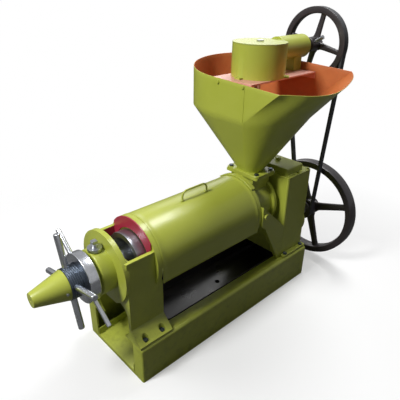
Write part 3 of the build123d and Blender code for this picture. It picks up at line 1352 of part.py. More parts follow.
with BuildPart() as feeder_lid:
    with BuildSketch(Plane.XY.offset(drum_top + seat_gap)) as feeder_lid_outline:
        with Locations((feed_x, 0)):
            Circle(drum_radius)
            Circle(auger_shaft_radius + running_gap, mode=Mode.SUBTRACT)
    extrude(feeder_lid_outline.sketch, amount=drum_lid)
    with BuildSketch(cross_plane(tube_seat)) as lid_notch:
        with Locations((0, feeder_axis_height)):
            Circle(tube_radius + seat_gap)
    extrude(lid_notch.sketch, amount=2 * drum_wall, mode=Mode.SUBTRACT)

with BuildPart() as feeder_tube:
    tube_start = tube_seat + seat_gap
    disc_x(tube_start, tube_end_station - tube_start, tube_radius, 0, feeder_axis_height)
    with Locations((at(bracket_station + bracket_length / 2), 0, drum_seat)):
        Box(bracket_length, bracket_width, feeder_axis_height - drum_seat,
            align=(Align.CENTER, Align.CENTER, Align.MIN))
    bore_x(tube_start - overrun, tube_end_station - tube_start + 2 * overrun, tube_bore_radius,
           0, feeder_axis_height)

with BuildPart() as feeder_bushes:
    for station in (tube_start + drum_wall, tube_end_station - bush_length):
        turned([(station, feeder_shaft_radius + running_gap), (station, tube_bore_radius - fixed_gap),
                (station + bush_length, tube_bore_radius - fixed_gap),
                (station + bush_length, feeder_shaft_radius + running_gap)], 0, feeder_axis_height)

# Crown gear and its pinion: straight teeth that taper toward the crossing point of the shafts.
crown_module = 2 * crown_radius / crown_teeth
crown_inner = crown_radius * (1 - crown_face_share)
pinion_radius = crown_module * crown_pinion_teeth / 2
crown_height = feeder_axis_height - pinion_radius


def crown_tooth_points(radius):
    """Tooth of the crown gear in a plane square to its length, about the pitch plane."""
    scale = radius / crown_radius
    half = pi * radius / crown_teeth * crown_tooth_share
    top = crown_addendum_share * crown_module * scale
    foot = crown_dedendum_share * crown_module * scale
    slope = tan(radians(pressure_angle))
    return [(-half - foot * slope, -foot), (half + foot * slope, -foot),
            (half - top * slope, top), (-half + top * slope, top)]


def pinion_points(scale):
    """Outline of the small bevel gear at a share of its full size."""
    base_radius = pinion_radius * cos(radians(pressure_angle))
    tip = pinion_radius + crown_addendum_share * crown_module
    root = pinion_radius - crown_dedendum_share * crown_module
    rolled = tan(radians(pressure_angle)) - radians(pressure_angle)
    half_at_pitch = pi / crown_pinion_teeth * crown_tooth_share
    points = []
    for tooth in range(crown_pinion_teeth):
        center = 2 * pi * (tooth + 0.5) / crown_pinion_teeth - pi / 2
        flank = []
        for radius in (max(root, base_radius), pinion_radius, tip):
            angle = acos(min(base_radius / radius, 1.0))
            flank.append((radius, half_at_pitch + rolled - (tan(angle) - angle)))
        flank.insert(0, (root, flank[0][1]))
        for radius, half in flank:
            points.append((scale * radius * cos(center - half), scale * radius * sin(center - half)))
        for radius, half in reversed(flank):
            points.append((scale * radius * cos(center + half), scale * radius * sin(center + half)))
    return points


with BuildPart() as crown_tooth:
    for radius in (crown_inner, crown_radius):
        with BuildSketch(Plane(origin=(feed_x + radius, 0, crown_height), x_dir=(0, 1, 0),
                               z_dir=(1, 0, 0))) as tooth_section:
            Polygon(*crown_tooth_points(radius), align=None)
    loft(ruled=True)

with BuildPart() as crown_gear:
    crown_foot = crown_height - crown_dedendum_share * crown_module
    with BuildSketch(Plane.XY.offset(crown_foot - crown_backing)) as crown_disc:
        with Locations((feed_x, 0)):
            Circle(crown_radius)
    extrude(crown_disc.sketch, amount=crown_backing)
    with BuildSketch(Plane.XY.offset(crown_foot - crown_backing - crown_hub_length)) as crown_hub:
        with Locations((feed_x, 0)):
            Circle(2 * auger_shaft_radius)
    extrude(crown_hub.sketch, amount=crown_hub_length)
    for index in range(crown_teeth):
        add(crown_tooth.part.rotate(Axis((feed_x, 0, 0), (0, 0, 1)), index * 360 / crown_teeth))
    with Locations((feed_x, 0, crown_foot)):
        Cylinder(auger_shaft_radius + fixed_gap, 4 * crown_hub_length, mode=Mode.SUBTRACT)

with BuildPart() as feeder_pinion:
    for radius in (crown_inner, crown_radius):
        with BuildSketch(cross_plane(feed_axis_station + radius)) as pinion_section:
            with Locations((0, feeder_axis_height)):
                Polygon(*pinion_points(radius / crown_radius), align=None)
    loft(ruled=True)
    disc_x(feed_axis_station + crown_radius, pinion_hub_length, feeder_shaft_radius + pinion_hub_wall,
           0, feeder_axis_height)
    bore_x(feed_axis_station + crown_inner - overrun, crown_radius, feeder_shaft_bore + fixed_gap,
           0, feeder_axis_height)
    bore_x(feed_axis_station + crown_radius, pinion_hub_length + overrun, feeder_shaft_radius + fixed_gap,
           0, feeder_axis_height)

with BuildPart() as feeder_shaft:
    shoulder = feed_axis_station + crown_radius + seat_gap
    turned([(feed_axis_station + crown_inner, 0), (feed_axis_station + crown_inner, feeder_shaft_bore),
            (shoulder, feeder_shaft_bore), (shoulder, feeder_shaft_radius),
            (feeder_shaft_end, feeder_shaft_radius), (feeder_shaft_end, 0)], 0, feeder_axis_height)

# Feed screw: the upright shaft down the hopper with a flight in the throat.
with BuildPart() as feed_auger:
    auger_top = bridge_height + drum_height + auger_end
    with Locations((feed_x, 0, auger_bottom_height)):
        Cylinder(auger_shaft_radius, auger_top - auger_bottom_height,
                 align=(Align.CENTER, Align.CENTER, Align.MIN))
    with BuildLine() as auger_path:
        Helix(pitch=auger_pitch, height=auger_flight_top - auger_bottom_height - auger_flight_thickness,
              radius=auger_shaft_radius, center=(feed_x, 0, auger_bottom_height + auger_flight_thickness))
    auger_start = auger_path.wires()[0] @ 0
    auger_outward = Vector(auger_start.X - feed_x, auger_start.Y, 0)
    with BuildSketch(Plane(origin=auger_start, x_dir=auger_outward,
                           z_dir=auger_path.wires()[0] % 0)) as auger_section:
        with Locations(((auger_flight_radius - auger_shaft_radius) / 2 - fixed_gap, 0)):
            Rectangle(auger_flight_radius - auger_shaft_radius + 2 * fixed_gap, auger_flight_thickness)
    sweep(auger_section.sketch, path=auger_path.wires()[0], is_frenet=True)

os.makedirs("parts", exist_ok=True)

base_frame.part.label = "base_frame"
export_step(base_frame.part, "parts/base_frame.step")
oil_tray.part.label = "oil_tray"
export_step(oil_tray.part, "parts/oil_tray.step")
cake_chute.part.label = "cake_chute"
export_step(cake_chute.part, "parts/cake_chute.step")
discharge_housing.part.label = "discharge_housing"
export_step(discharge_housing.part, "parts/discharge_housing.step")
guard_plate.part.label = "guard_plate"
export_step(guard_plate.part, "parts/guard_plate.step")
outlet_ring.part.label = "outlet_ring"
export_step(outlet_ring.part, "parts/outlet_ring.step")
grease_cup.part.label = "grease_cup"
export_step(grease_cup.part, "parts/grease_cup.step")
cage_bars.part.label = "cage_bars"
export_step(cage_bars.part, "parts/cage_bars.step")
cage_rings.part.label = "cage_rings"
export_step(cage_rings.part, "parts/cage_rings.step")
cage_ties.part.label = "cage_ties"
export_step(cage_ties.part, "parts/cage_ties.step")
cover.part.label = "cover"
export_step(cover.part, "parts/cover.step")
cover_handle.part.label = "cover_handle"
export_step(cover_handle.part, "parts/cover_handle.step")
feed_housing.part.label = "feed_housing"
export_step(feed_housing.part, "parts/feed_housing.step")
cover_strip.part.label = "cover_strip"
export_step(cover_strip.part, "parts/cover_strip.step")
gearbox_case.part.label = "gearbox_case"
export_step(gearbox_case.part, "parts/gearbox_case.step")
gearbox_lid.part.label = "gearbox_lid"
export_step(gearbox_lid.part, "parts/gearbox_lid.step")
lid_bolts.part.label = "lid_bolts"
export_step(lid_bolts.part, "parts/lid_bolts.step")
filler_plug.part.label = "filler_plug"
export_step(filler_plug.part, "parts/filler_plug.step")
gearbox_bearings.part.label = "gearbox_bearings"
export_step(gearbox_bearings.part, "parts/gearbox_bearings.step")
input_cap.part.label = "input_cap"
export_step(input_cap.part, "parts/input_cap.step")
output_cap.part.label = "output_cap"
export_step(output_cap.part, "parts/output_cap.step")
cap_bolts.part.label = "cap_bolts"
export_step(cap_bolts.part, "parts/cap_bolts.step")
foot_bolts.part.label = "foot_bolts"
export_step(foot_bolts.part, "parts/foot_bolts.step")
arm_bolts.part.label = "arm_bolts"
export_step(arm_bolts.part, "parts/arm_bolts.step")
input_shaft.part.label = "input_shaft"
export_step(input_shaft.part, "parts/input_shaft.step")
layshaft.part.label = "layshaft"
export_step(layshaft.part, "parts/layshaft.step")
layshaft_gear.part.label = "layshaft_gear"
export_step(layshaft_gear.part, "parts/layshaft_gear.step")
output_gear.part.label = "output_gear"
export_step(output_gear.part, "parts/output_gear.step")
press_shaft.part.label = "press_shaft"
export_step(press_shaft.part, "parts/press_shaft.step")
screw_keys.part.label = "screw_keys"
export_step(screw_keys.part, "parts/screw_keys.step")
choke_cone.part.label = "choke_cone"
export_step(choke_cone.part, "parts/choke_cone.step")
press_worms.part.label = "press_worms"
export_step(press_worms.part, "parts/press_worms.step")
thrust_race.part.label = "thrust_race"
export_step(thrust_race.part, "parts/thrust_race.step")
thrust_rollers.part.label = "thrust_rollers"
export_step(thrust_rollers.part, "parts/thrust_rollers.step")
screw_race.part.label = "screw_race"
export_step(screw_race.part, "parts/screw_race.step")
adjusting_sleeve.part.label = "adjusting_sleeve"
export_step(adjusting_sleeve.part, "parts/adjusting_sleeve.step")
sleeve_bars.part.label = "sleeve_bars"
export_step(sleeve_bars.part, "parts/sleeve_bars.step")
cone_cap.part.label = "cone_cap"
export_step(cone_cap.part, "parts/cone_cap.step")
cone_screw.part.label = "cone_screw"
export_step(cone_screw.part, "parts/cone_screw.step")
lock_ring.part.label = "lock_ring"
export_step(lock_ring.part, "parts/lock_ring.step")
lock_bars.part.label = "lock_bars"
export_step(lock_bars.part, "parts/lock_bars.step")
belt_pulley.part.label = "belt_pulley"
export_step(belt_pulley.part, "parts/belt_pulley.step")
big_pulley.part.label = "big_pulley"
export_step(big_pulley.part, "parts/big_pulley.step")
pulley_key.part.label = "pulley_key"
export_step(pulley_key.part, "parts/pulley_key.step")
pulley_washer.part.label = "pulley_washer"
export_step(pulley_washer.part, "parts/pulley_washer.step")
feeder_wheel.part.label = "feeder_wheel"
export_step(feeder_wheel.part, "parts/feeder_wheel.step")
hub_bolt.part.label = "hub_bolt"
export_step(hub_bolt.part, "parts/hub_bolt.step")
feeder_belt.part.label = "feeder_belt"
export_step(feeder_belt.part, "parts/feeder_belt.step")
hopper.part.label = "hopper"
export_step(hopper.part, "parts/hopper.step")
throat_bolts.part.label = "throat_bolts"
export_step(throat_bolts.part, "parts/throat_bolts.step")
bridge_plate.part.label = "bridge_plate"
export_step(bridge_plate.part, "parts/bridge_plate.step")
bridge_bolts.part.label = "bridge_bolts"
export_step(bridge_bolts.part, "parts/bridge_bolts.step")
feeder_housing.part.label = "feeder_housing"
export_step(feeder_housing.part, "parts/feeder_housing.step")
feeder_lid.part.label = "feeder_lid"
export_step(feeder_lid.part, "parts/feeder_lid.step")
feeder_tube.part.label = "feeder_tube"
export_step(feeder_tube.part, "parts/feeder_tube.step")
feeder_bushes.part.label = "feeder_bushes"
export_step(feeder_bushes.part, "parts/feeder_bushes.step")
crown_gear.part.label = "crown_gear"
export_step(crown_gear.part, "parts/crown_gear.step")
feeder_pinion.part.label = "feeder_pinion"
export_step(feeder_pinion.part, "parts/feeder_pinion.step")
feeder_shaft.part.label = "feeder_shaft"
export_step(feeder_shaft.part, "parts/feeder_shaft.step")
feed_auger.part.label = "feed_auger"
export_step(feed_auger.part, "parts/feed_auger.step")
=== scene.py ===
import json
import math

import bmesh
import bpy
import numpy as np
from bpy.props import FloatProperty, IntProperty, PointerProperty, StringProperty
from bpy.types import Operator, Panel, PropertyGroup
from mathutils import Matrix, Vector


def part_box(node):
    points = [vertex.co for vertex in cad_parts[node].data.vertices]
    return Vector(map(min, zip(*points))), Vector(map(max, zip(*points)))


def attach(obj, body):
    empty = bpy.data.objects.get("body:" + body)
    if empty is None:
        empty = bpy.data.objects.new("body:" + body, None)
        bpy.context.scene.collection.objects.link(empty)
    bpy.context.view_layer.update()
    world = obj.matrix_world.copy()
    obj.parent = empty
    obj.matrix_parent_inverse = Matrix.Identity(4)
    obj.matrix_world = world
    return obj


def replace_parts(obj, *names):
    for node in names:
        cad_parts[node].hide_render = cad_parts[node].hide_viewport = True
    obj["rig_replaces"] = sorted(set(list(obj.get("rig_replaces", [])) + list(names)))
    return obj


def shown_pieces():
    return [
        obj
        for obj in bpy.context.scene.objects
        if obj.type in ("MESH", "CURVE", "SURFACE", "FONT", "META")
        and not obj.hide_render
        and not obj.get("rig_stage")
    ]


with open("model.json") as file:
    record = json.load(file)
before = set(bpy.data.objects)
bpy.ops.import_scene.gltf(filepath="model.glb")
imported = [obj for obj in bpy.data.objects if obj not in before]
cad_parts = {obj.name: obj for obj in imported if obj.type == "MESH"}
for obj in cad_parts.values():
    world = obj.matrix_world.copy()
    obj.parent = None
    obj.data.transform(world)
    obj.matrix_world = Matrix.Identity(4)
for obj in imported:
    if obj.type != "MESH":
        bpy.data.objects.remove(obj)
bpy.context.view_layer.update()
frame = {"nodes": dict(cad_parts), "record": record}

bl_info = {
    "name": "Screw Oil Press",
    "version": (1, 0, 0),
    "blender": (4, 5, 0),
    "location": "View3D > Sidebar > Oil Press",
    "description": "Dresses a screw oil press: painted castings, sheet hopper, bar cage, wheels and belt",
    "category": "Add Mesh",
}

BOXES = {name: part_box(name) for name in frame["nodes"]}
BODIES = frame["record"]["behaviour"]["bodies"]
BODY_OF = {node: body for body, members in BODIES.items() for node in members}
SLOT_OF = {row["node"]: row["material_slot"] for row in frame["record"]["subparts"]}
TAU = 2 * math.pi
X_AXIS = (1, 0, 0)


def width_of(node, axis):
    """Size of a frame node along one axis, in metres."""
    low, high = BOXES[node]
    return high[axis] - low[axis]


def middle_of(node):
    """Middle of a frame node's box."""
    low, high = BOXES[node]
    return (low + high) / 2


LINE_Z = middle_of("press_shaft").z
INPUT_Y = middle_of("input_shaft").y
INPUT_Z = middle_of("big_pulley").z
FEEDER_Z = middle_of("feeder_shaft").z
HOPPER_X = middle_of("bridge_plate").x
FEED_X = middle_of("feed_auger").x

# Outlet chamber: where its red paint ends below, and how squarely a red face looks at the press line
RED_FROM_Z = LINE_Z - 0.02
RED_FACING = 0.3

# Cover: length of its hems, how far the sheet between them lies deeper, and where that sheet starts
HEM = 0.010
HEM_RISE = 0.0012
SHEET_START = 0.03

# Handle of the cover: radius of its wire and of its bends, and the outline of a welded foot
WIRE = 0.004
WIRE_BEND = 0.026
WELD_BEAD = ((0, 0), (0, 0.0079), (0.0015, 0.0075), (0.003, 0.0062), (0.005, 0.0047), (0.006, 0))

# How far the edges of drawn sheet and turned ends are softened
SOFT_EDGE = 0.0012

# Hopper: heights of its fold and rim, the rim's slopes along and across the press, the thickness of its
# foot plate, half the plate's length and width, its corners, and half the mouth's length and width
FOLD_Z = 0.925
RIM_Z = 1.085
RIM_SLOPE_X = 0.0875
RIM_SLOPE_Y = 0.043
FOOT_PLATE = 0.008
PLATE_X = 0.071
PLATE_Y = 0.098
PLATE_CORNER = 0.024
MOUTH_X = 0.055
MOUTH_Y = 0.061

# Outlines of the hopper seen from above: half its length, where the far half ellipse starts and how far
# it reaches, where the back and front lines end, and the points of the near curve between them
FOOT_OUTLINE = {"half": 0.058, "far_y": 0.012, "far_reach": 0.052, "back_y": -0.012, "front_y": -0.012,
                "near": ((0.318, -0.046), (0.303, -0.056), (0.286, -0.062), (0.260, -0.062),
                         (0.240, -0.054))}
WALL_OUTLINE = {"half": 0.230, "far_y": 0.112, "far_reach": 0.263}
FOLD_OUTLINE = {**WALL_OUTLINE, "back_y": -0.080, "front_y": -0.080,
                "near": ((0.440, -0.195), (0.338, -0.230), (0.233, -0.226), (0.162, -0.198),
                         (0.130, -0.160))}
RIM_OUTLINE = {**WALL_OUTLINE, "back_y": -0.285, "front_y": -0.252,
               "near": ((0.485, -0.336), (0.390, -0.371), (0.291, -0.391), (0.231, -0.384),
                        (0.179, -0.352), (0.130, -0.286))}

# Feeder belt: width at its outside, how much less that is on each side at its inside, and thickness
BELT_WIDTH = 0.030
BELT_TAPER = 0.0025
BELT_DEPTH = 0.0115

# Wheels: depth of the rim, radius of the hub and its bore, turn of the first spoke in degrees, and the
# spoke's width across and along the shaft
BIG_WHEEL = {"rim": 0.040, "hub": 0.052, "bore": 0.0225, "first": 71.0, "spoke": 0.046, "thick": 0.022}
BELT_WHEEL = {"rim": 0.032, "hub": 0.034, "bore": 0.015, "first": 12.0, "spoke": 0.032, "thick": 0.016}
BELT_WHEEL_WIDTH = 0.036
PULLEY_BORE = 0.0225

# Adjusting gear: radii of the cap's small end, of the sleeve's bore and of the lock ring's bore
CAP_END = 0.028
SLEEVE_BORE = 0.036
LOCK_BORE = 0.0625

# Bars: how many, turn of the first in degrees, radius, and distances of root and tip from the press line
SLEEVE_RODS = {"count": 4, "lean": 14.0, "radius": 0.012, "root": 0.044, "reach": 0.192}
LOCK_RODS = {"count": 2, "lean": 51.0, "radius": 0.009, "root": 0.082, "reach": 0.207}

# Lamps: name, place, diameter in metres, power in watts; all of them look at one point
LAMPS = (("key_lamp", (-2.9, 0.4, 3.7), 1.0, 170.0), ("window_lamp", (3.0, 3.1, 2.4), 2.2, 22.0),
         ("sky_lamp", (1.7, 0.3, 3.7), 1.5, 85.0), ("side_lamp", (0.6, -4.2, 2.0), 3.0, 2.0))
LAMP_AIM = (0.0, 0.0, 0.6)

# Camera: azimuth, elevation and roll in degrees, place in metres, lens and sensor in millimetres
CAMERA_ANGLES = (-43.55, 27.35, 0.92)
CAMERA_PLACE = (-1.2013, -1.1989, 1.4462)
CAMERA_LENS = 37.92
CAMERA_SENSOR = 36.0


# Sizes and colours

def hex_to_linear(code):
    """Turn an sRGB hex colour into linear red, green, blue and alpha."""
    code = code.lstrip("#")
    values = [int(code[i:i + 2], 16) / 255 for i in (0, 2, 4)]
    return tuple(v / 12.92 if v <= 0.04045 else ((v + 0.055) / 1.055) ** 2.4 for v in values) + (1.0,)


def length(name, value, text):
    """A size in metres that a user can change."""
    return FloatProperty(name=name, description=text, default=value, min=0.0, unit="LENGTH")


def colour(name, code, text):
    """A colour that a user can change."""
    return StringProperty(name=name, description=text, default=code)


class PressFinish(PropertyGroup):
    """Colours of the press, as sRGB hex codes."""
    green: colour("Green enamel", "#A9B23C", "Paint of castings and sheet")
    green_pale: colour("Green enamel, thin", "#B3BA4C", "Where the paint lies thin")
    green_grime: colour("Oily green", "#5E6228", "Paint darkened by oil")
    # Paler, greyer green of the feeder lid: meal dust and a painted sheen of light from behind and above.
    green_dusty: colour("Dusty green", "#99A06A", "Lid under meal dust")
    red: colour("Red enamel", "#A32A40", "Paint inside the outlet housing")
    primer: colour("Red lead primer", "#AC5326", "Inside of the hopper")
    primer_thin: colour("Thin primer", "#CB7F46", "Primer where it lies thin")
    primer_dark: colour("Stained primer", "#7A3020", "Primer where seed has rubbed")
    # Pale pink primer of the bridge plate: a painted highlight, the hopper's primer as a flash lights it.
    bridge: colour("Pale primer", "#E3A292", "Bridge plate in the hopper")
    black: colour("Black enamel", "#2A2527", "Wheels")
    black_worn: colour("Black enamel, worn", "#332D30", "Wheels where the paint is rubbed")
    black_grime: colour("Greasy black", "#1A1718", "Wheels under grease")
    # Near-black enamel of the oil tray, which also paints the shade of the deep recess under the cage.
    tray: colour("Tray enamel", "#232224", "Oil tray")
    tray_grime: colour("Oily tray", "#15130F", "Oil tray where oil has dried")
    steel: colour("Turned steel", "#C9CCD2", "Shafts and gears")
    ring_steel: colour("Dull steel", "#A9AEB6", "Outlet ring")
    bright_steel: colour("Polished steel", "#DCDFE5", "Bars and lock ring")
    dark_steel: colour("Blackened steel", "#5F6874", "Sleeve and throat bolts")
    bar_steel: colour("Bar steel", "#77746E", "Cage bars and worms")
    bronze: colour("Bronze", "#A98142", "Bushes")
    rubber: colour("Rubber", "#3E4046", "Feeder belt")
    rubber_worn: colour("Worn rubber", "#3A3A3A", "Feeder belt where it is rubbed")
    floor: colour("Floor", "#FAFAFA", "Floor as the camera sees it")
    floor_bounce: colour("Floor bounce", "#5C5C5C", "Floor as it lights the press")


class PressSizes(PropertyGroup):
    """Sizes of what is drawn finer here than in the frame."""
    edge: length("Painted edge", 0.0015, "Rounding of the paint on sheet edges")
    sheet: length("Cover sheet", 0.0025, "Thickness of the cover")
    hopper_sheet: length("Hopper sheet", 0.003, "Thickness of the hopper")
    thread_pitch: length("Thread pitch", 0.008, "Distance between two turns of the adjusting thread")
    thread_depth: length("Thread depth", 0.0025, "Depth of the adjusting thread")
    wheel_crown: length("Rim crown", 0.002, "How much a rim is higher in its middle")
    orange_peel: length("Orange peel", 0.004, "Size of the ripples in sprayed paint")
    steps: IntProperty(name="Steps round", description="Faces round a turned piece", default=96, min=24)


# Materials

# Sizes of the patterns in metres: clouds of tone in paint, spots of dirt, dents of a sheet, stains on
# metal, dust on rubber, and the weave of a belt's cover
CLOUD = 0.11
SPOT = 0.035
DENT = 0.06
STAIN = 0.03
DUST = 0.02
WEAVE = 0.004

# Enamels: name, colours of the paint, of thin paint and of grime, roughness, height the grime reaches.
# Paint sprayed on castings shines softly, meal dust and primer are dull, oil makes the tray glossy. The
# lid's paler, greyer green is meal dust and also a painted sheen.
ENAMELS = {
    "green_paint": ("sprayed green alkyd enamel", "green", "green_pale", "green_grime", 0.38, 0.45),
    # Meal dust and painted sheen: this paler, greyer green stands in for the lid's sheen as well as its
    # dust.
    "dust_and_sheen_paint": ("sprayed green alkyd enamel under meal dust", "green_dusty", "green_pale",
                    "green_grime", 0.6, 0.45),
    "red_paint": ("brushed red alkyd enamel", "red", "red", "black", 0.45, 0.1),
    # The bridge plate's pale primer is the hopper primer painted as lit by flash: a painted highlight.
    "bridge_paint": ("thin pale primer on sheet steel", "bridge", "bridge", "primer_dark", 0.6, 0.1),
    "hopper_primer": ("red lead primer brushed on sheet steel", "primer", "primer_thin", "primer_dark",
                      0.55, 1.3),
    "black_paint": ("black alkyd enamel on cast iron", "black", "black_worn", "black_grime", 0.42, 0.3),
    # Near-black tray: its enamel also paints the shade of the deep recess under the cage.
    "tray_black": ("oily black enamel on sheet steel", "tray", "black", "tray_grime", 0.30, 0.2),
}

# Metals: name, colour, roughness, distance of the tool lines, how much the roughness varies.
# Polished bars mirror the room, blackened and worn steel only glimmer.
METALS = {
    "dark_steel": ("blackened turned steel", "dark_steel", 0.42, 0.0012, 0.08),
    "steel": ("turned steel", "steel", 0.32, 0.0010, 0.08),
    "ring_steel": ("dull turned steel", "ring_steel", 0.36, 0.0012, 0.08),
    "bright_steel": ("polished steel bar", "bright_steel", 0.26, 0.0010, 0.05),
    "cage_steel": ("worn oily bar steel", "bar_steel", 0.45, 0.0016, 0.10),
    "bronze": ("turned bronze", "bronze", 0.35, 0.0010, 0.06),
}
FINISHES = {}


def add_node(tree, kind, settings=None, links=None):
    """Add one shader node; settings fill its fields and free sockets, and links join its sockets to
    other sockets or to the first output of other nodes."""
    node = tree.nodes.new("ShaderNode" + kind)
    for key, value in (settings or {}).items():
        if isinstance(key, str) and key not in node.inputs:
            setattr(node, key, value)
        else:
            node.inputs[key].default_value = value
    for key, source in (links or {}).items():
        socket = source.outputs[0] if isinstance(source, bpy.types.Node) else source
        tree.links.new(socket, node.inputs[key])
    return node


def new_material(name):
    """An empty material, its node tree, and the object's own coordinates."""
    material = bpy.data.materials.new(name)
    material.use_nodes = True
    tree = material.node_tree
    tree.nodes.clear()
    return material, tree, add_node(tree, "TexCoord").outputs["Object"]


def enamel(name, main, thin, grime, roughness, grime_height, peel):
    """Alkyd enamel or primer over steel and castings: soft gloss, faint orange peel, cloudy tone, and
    oily dirt that thickens toward the floor."""
    material, tree, place = new_material(name)
    cloud = add_node(tree, "TexNoise", {"Scale": 1 / CLOUD, "Detail": 4.0, "Roughness": 0.55},
                     {"Vector": place})
    tone = add_node(tree, "Mix", {"data_type": "RGBA", 6: hex_to_linear(main), 7: hex_to_linear(thin)},
                    {0: cloud})
    height = add_node(tree, "SeparateXYZ", links={"Vector": place})
    low = add_node(tree, "MapRange", {"From Min": grime_height, "From Max": 0.0, "To Max": 0.4},
                   {"Value": height.outputs["Z"]})
    spots = add_node(tree, "TexNoise", {"Scale": 1 / SPOT, "Detail": 6.0, "Roughness": 0.7},
                     {"Vector": place})
    patch = add_node(tree, "MapRange", {"From Min": 0.50, "From Max": 0.72}, {"Value": spots})
    amount = add_node(tree, "Math", {"operation": "MULTIPLY"}, {0: patch, 1: low})
    dirty = add_node(tree, "Mix", {"data_type": "RGBA", 7: hex_to_linear(grime)},
                     {0: amount, 6: tone.outputs[2]})
    ripple = add_node(tree, "TexNoise", {"Scale": 1 / peel, "Detail": 1.0}, {"Vector": place})
    dent = add_node(tree, "TexNoise", {"Scale": 1 / DENT, "Detail": 2.0}, {"Vector": place})
    peel_bump = add_node(tree, "Bump", {"Strength": 0.10, "Distance": 0.0004}, {"Height": ripple})
    bump = add_node(tree, "Bump", {"Strength": 0.25, "Distance": 0.002},
                    {"Height": dent, "Normal": peel_bump})
    gloss = add_node(tree, "MapRange", {"From Min": 0.3, "From Max": 0.7, "To Min": roughness - 0.06,
                                        "To Max": roughness + 0.10}, {"Value": cloud})
    shader = add_node(tree, "BsdfPrincipled", {"IOR": 1.5, "Coat Weight": 0.35, "Coat Roughness": 0.22},
                      {"Base Color": dirty.outputs[2], "Roughness": gloss, "Normal": bump})
    add_node(tree, "OutputMaterial", links={"Surface": shader})
    return material


def turned_metal(name, main, roughness, lines, spread):
    """Machined metal: fine tool lines round the press line, stained a little by handling."""
    material, tree, place = new_material(name)
    grain = add_node(tree, "Mapping", {"Scale": (1 / lines, 1 / (lines * 12), 1 / (lines * 12))},
                     {"Vector": place})
    cuts = add_node(tree, "TexNoise", {"Scale": 1.0, "Detail": 2.0}, {"Vector": grain})
    stain = add_node(tree, "TexNoise", {"Scale": 1 / STAIN, "Detail": 5.0, "Roughness": 0.65},
                     {"Vector": place})
    tone = add_node(tree, "MapRange", {"From Min": 0.3, "From Max": 0.75, "To Min": 1.0, "To Max": 0.72},
                    {"Value": stain})
    base = add_node(tree, "Mix", {"data_type": "RGBA", "blend_type": "MULTIPLY", 0: 1.0,
                                  6: hex_to_linear(main)}, {7: tone})
    rough = add_node(tree, "MapRange", {"To Min": roughness - spread, "To Max": roughness + spread},
                     {"Value": stain})
    bump = add_node(tree, "Bump", {"Strength": 0.06, "Distance": 0.0002}, {"Height": cuts})
    shader = add_node(tree, "BsdfPrincipled", {"Metallic": 1.0},
                      {"Base Color": base.outputs[2], "Roughness": rough, "Normal": bump})
    add_node(tree, "OutputMaterial", links={"Surface": shader})
    return material


def moulded_rubber(name, main, worn):
    """Wrapped V-belt rubber: dull dark grey with the weave of its cover, drawn coarser than it is."""
    material, tree, place = new_material(name)
    weave = add_node(tree, "TexWave", {"Scale": 1 / WEAVE, "Distortion": 1.0,
                                       "bands_direction": "DIAGONAL"}, {"Vector": place})
    dust = add_node(tree, "TexNoise", {"Scale": 1 / DUST, "Detail": 4.0}, {"Vector": place})
    tone = add_node(tree, "Mix", {"data_type": "RGBA", 6: hex_to_linear(main), 7: hex_to_linear(worn)},
                    {0: dust})
    bump = add_node(tree, "Bump", {"Strength": 0.3, "Distance": 0.0003},
                    {"Height": weave.outputs["Fac"]})
    shader = add_node(tree, "BsdfPrincipled", {"Roughness": 0.75},
                      {"Base Color": tone.outputs[2], "Normal": bump})
    add_node(tree, "OutputMaterial", links={"Surface": shader})
    return material


def finish_for(key):
    """The finish of a material slot, or of a look listed above, made once."""
    look = bpy.context.scene.press_finish
    if key in FINISHES:
        return FINISHES[key]
    if key in ENAMELS:
        name, *colours, roughness, grime_height = ENAMELS[key]
        colours = [getattr(look, field) for field in colours]
        peel = bpy.context.scene.press_sizes.orange_peel
        FINISHES[key] = enamel(name, *colours, roughness, grime_height, peel)
    if key in METALS:
        name, field, *values = METALS[key]
        FINISHES[key] = turned_metal(name, getattr(look, field), *values)
    if key == "belt_rubber":
        FINISHES[key] = moulded_rubber("wrapped belt rubber", look.rubber, look.rubber_worn)
    return FINISHES[key]


# Shapes

def grid_faces(rows, columns, wrap_rows, wrap_columns):
    """Quads of a grid of points: each joins a point to its next in both directions."""
    r = np.arange(rows if wrap_rows else rows - 1)
    c = np.arange(columns if wrap_columns else columns - 1)
    a, b = np.meshgrid(r, c, indexing="ij")
    a2, b2 = (a + 1) % rows, (b + 1) % columns
    quads = [a * columns + b, a2 * columns + b, a2 * columns + b2, a * columns + b2]
    return np.stack(quads, -1).reshape(-1, 4)


def grid_shell(points, wrap_rows, wrap_columns):
    """Points of a grid, its quads, and its first and last row as one face each if it is a tube."""
    rows, columns = points.shape[:2]
    index = np.arange(rows * columns).reshape(rows, columns)
    ends = [index[0], index[-1]] if wrap_columns and not wrap_rows else []
    return points.reshape(-1, 3), grid_faces(rows, columns, wrap_rows, wrap_columns), ends


def eased(outline, radius, count=4):
    """Round every corner of a closed outline: each corner becomes a short parabola between two points
    that lie the radius away from it, or less where the sides are short."""
    outline = np.asarray(outline, float)
    back = np.roll(outline, 1, 0) - outline
    ahead = np.roll(outline, -1, 0) - outline
    back_length = np.linalg.norm(back, axis=1, keepdims=True)
    ahead_length = np.linalg.norm(ahead, axis=1, keepdims=True)
    reach = np.minimum(radius, 0.45 * np.minimum(back_length, ahead_length))
    start = outline + back / back_length * reach
    end = outline + ahead / ahead_length * reach
    t = np.linspace(0, 1, count)[None, :, None]
    points = (1 - t) ** 2 * start[:, None] + 2 * t * (1 - t) * outline[:, None] + t ** 2 * end[:, None]
    return points.reshape(-1, outline.shape[1])


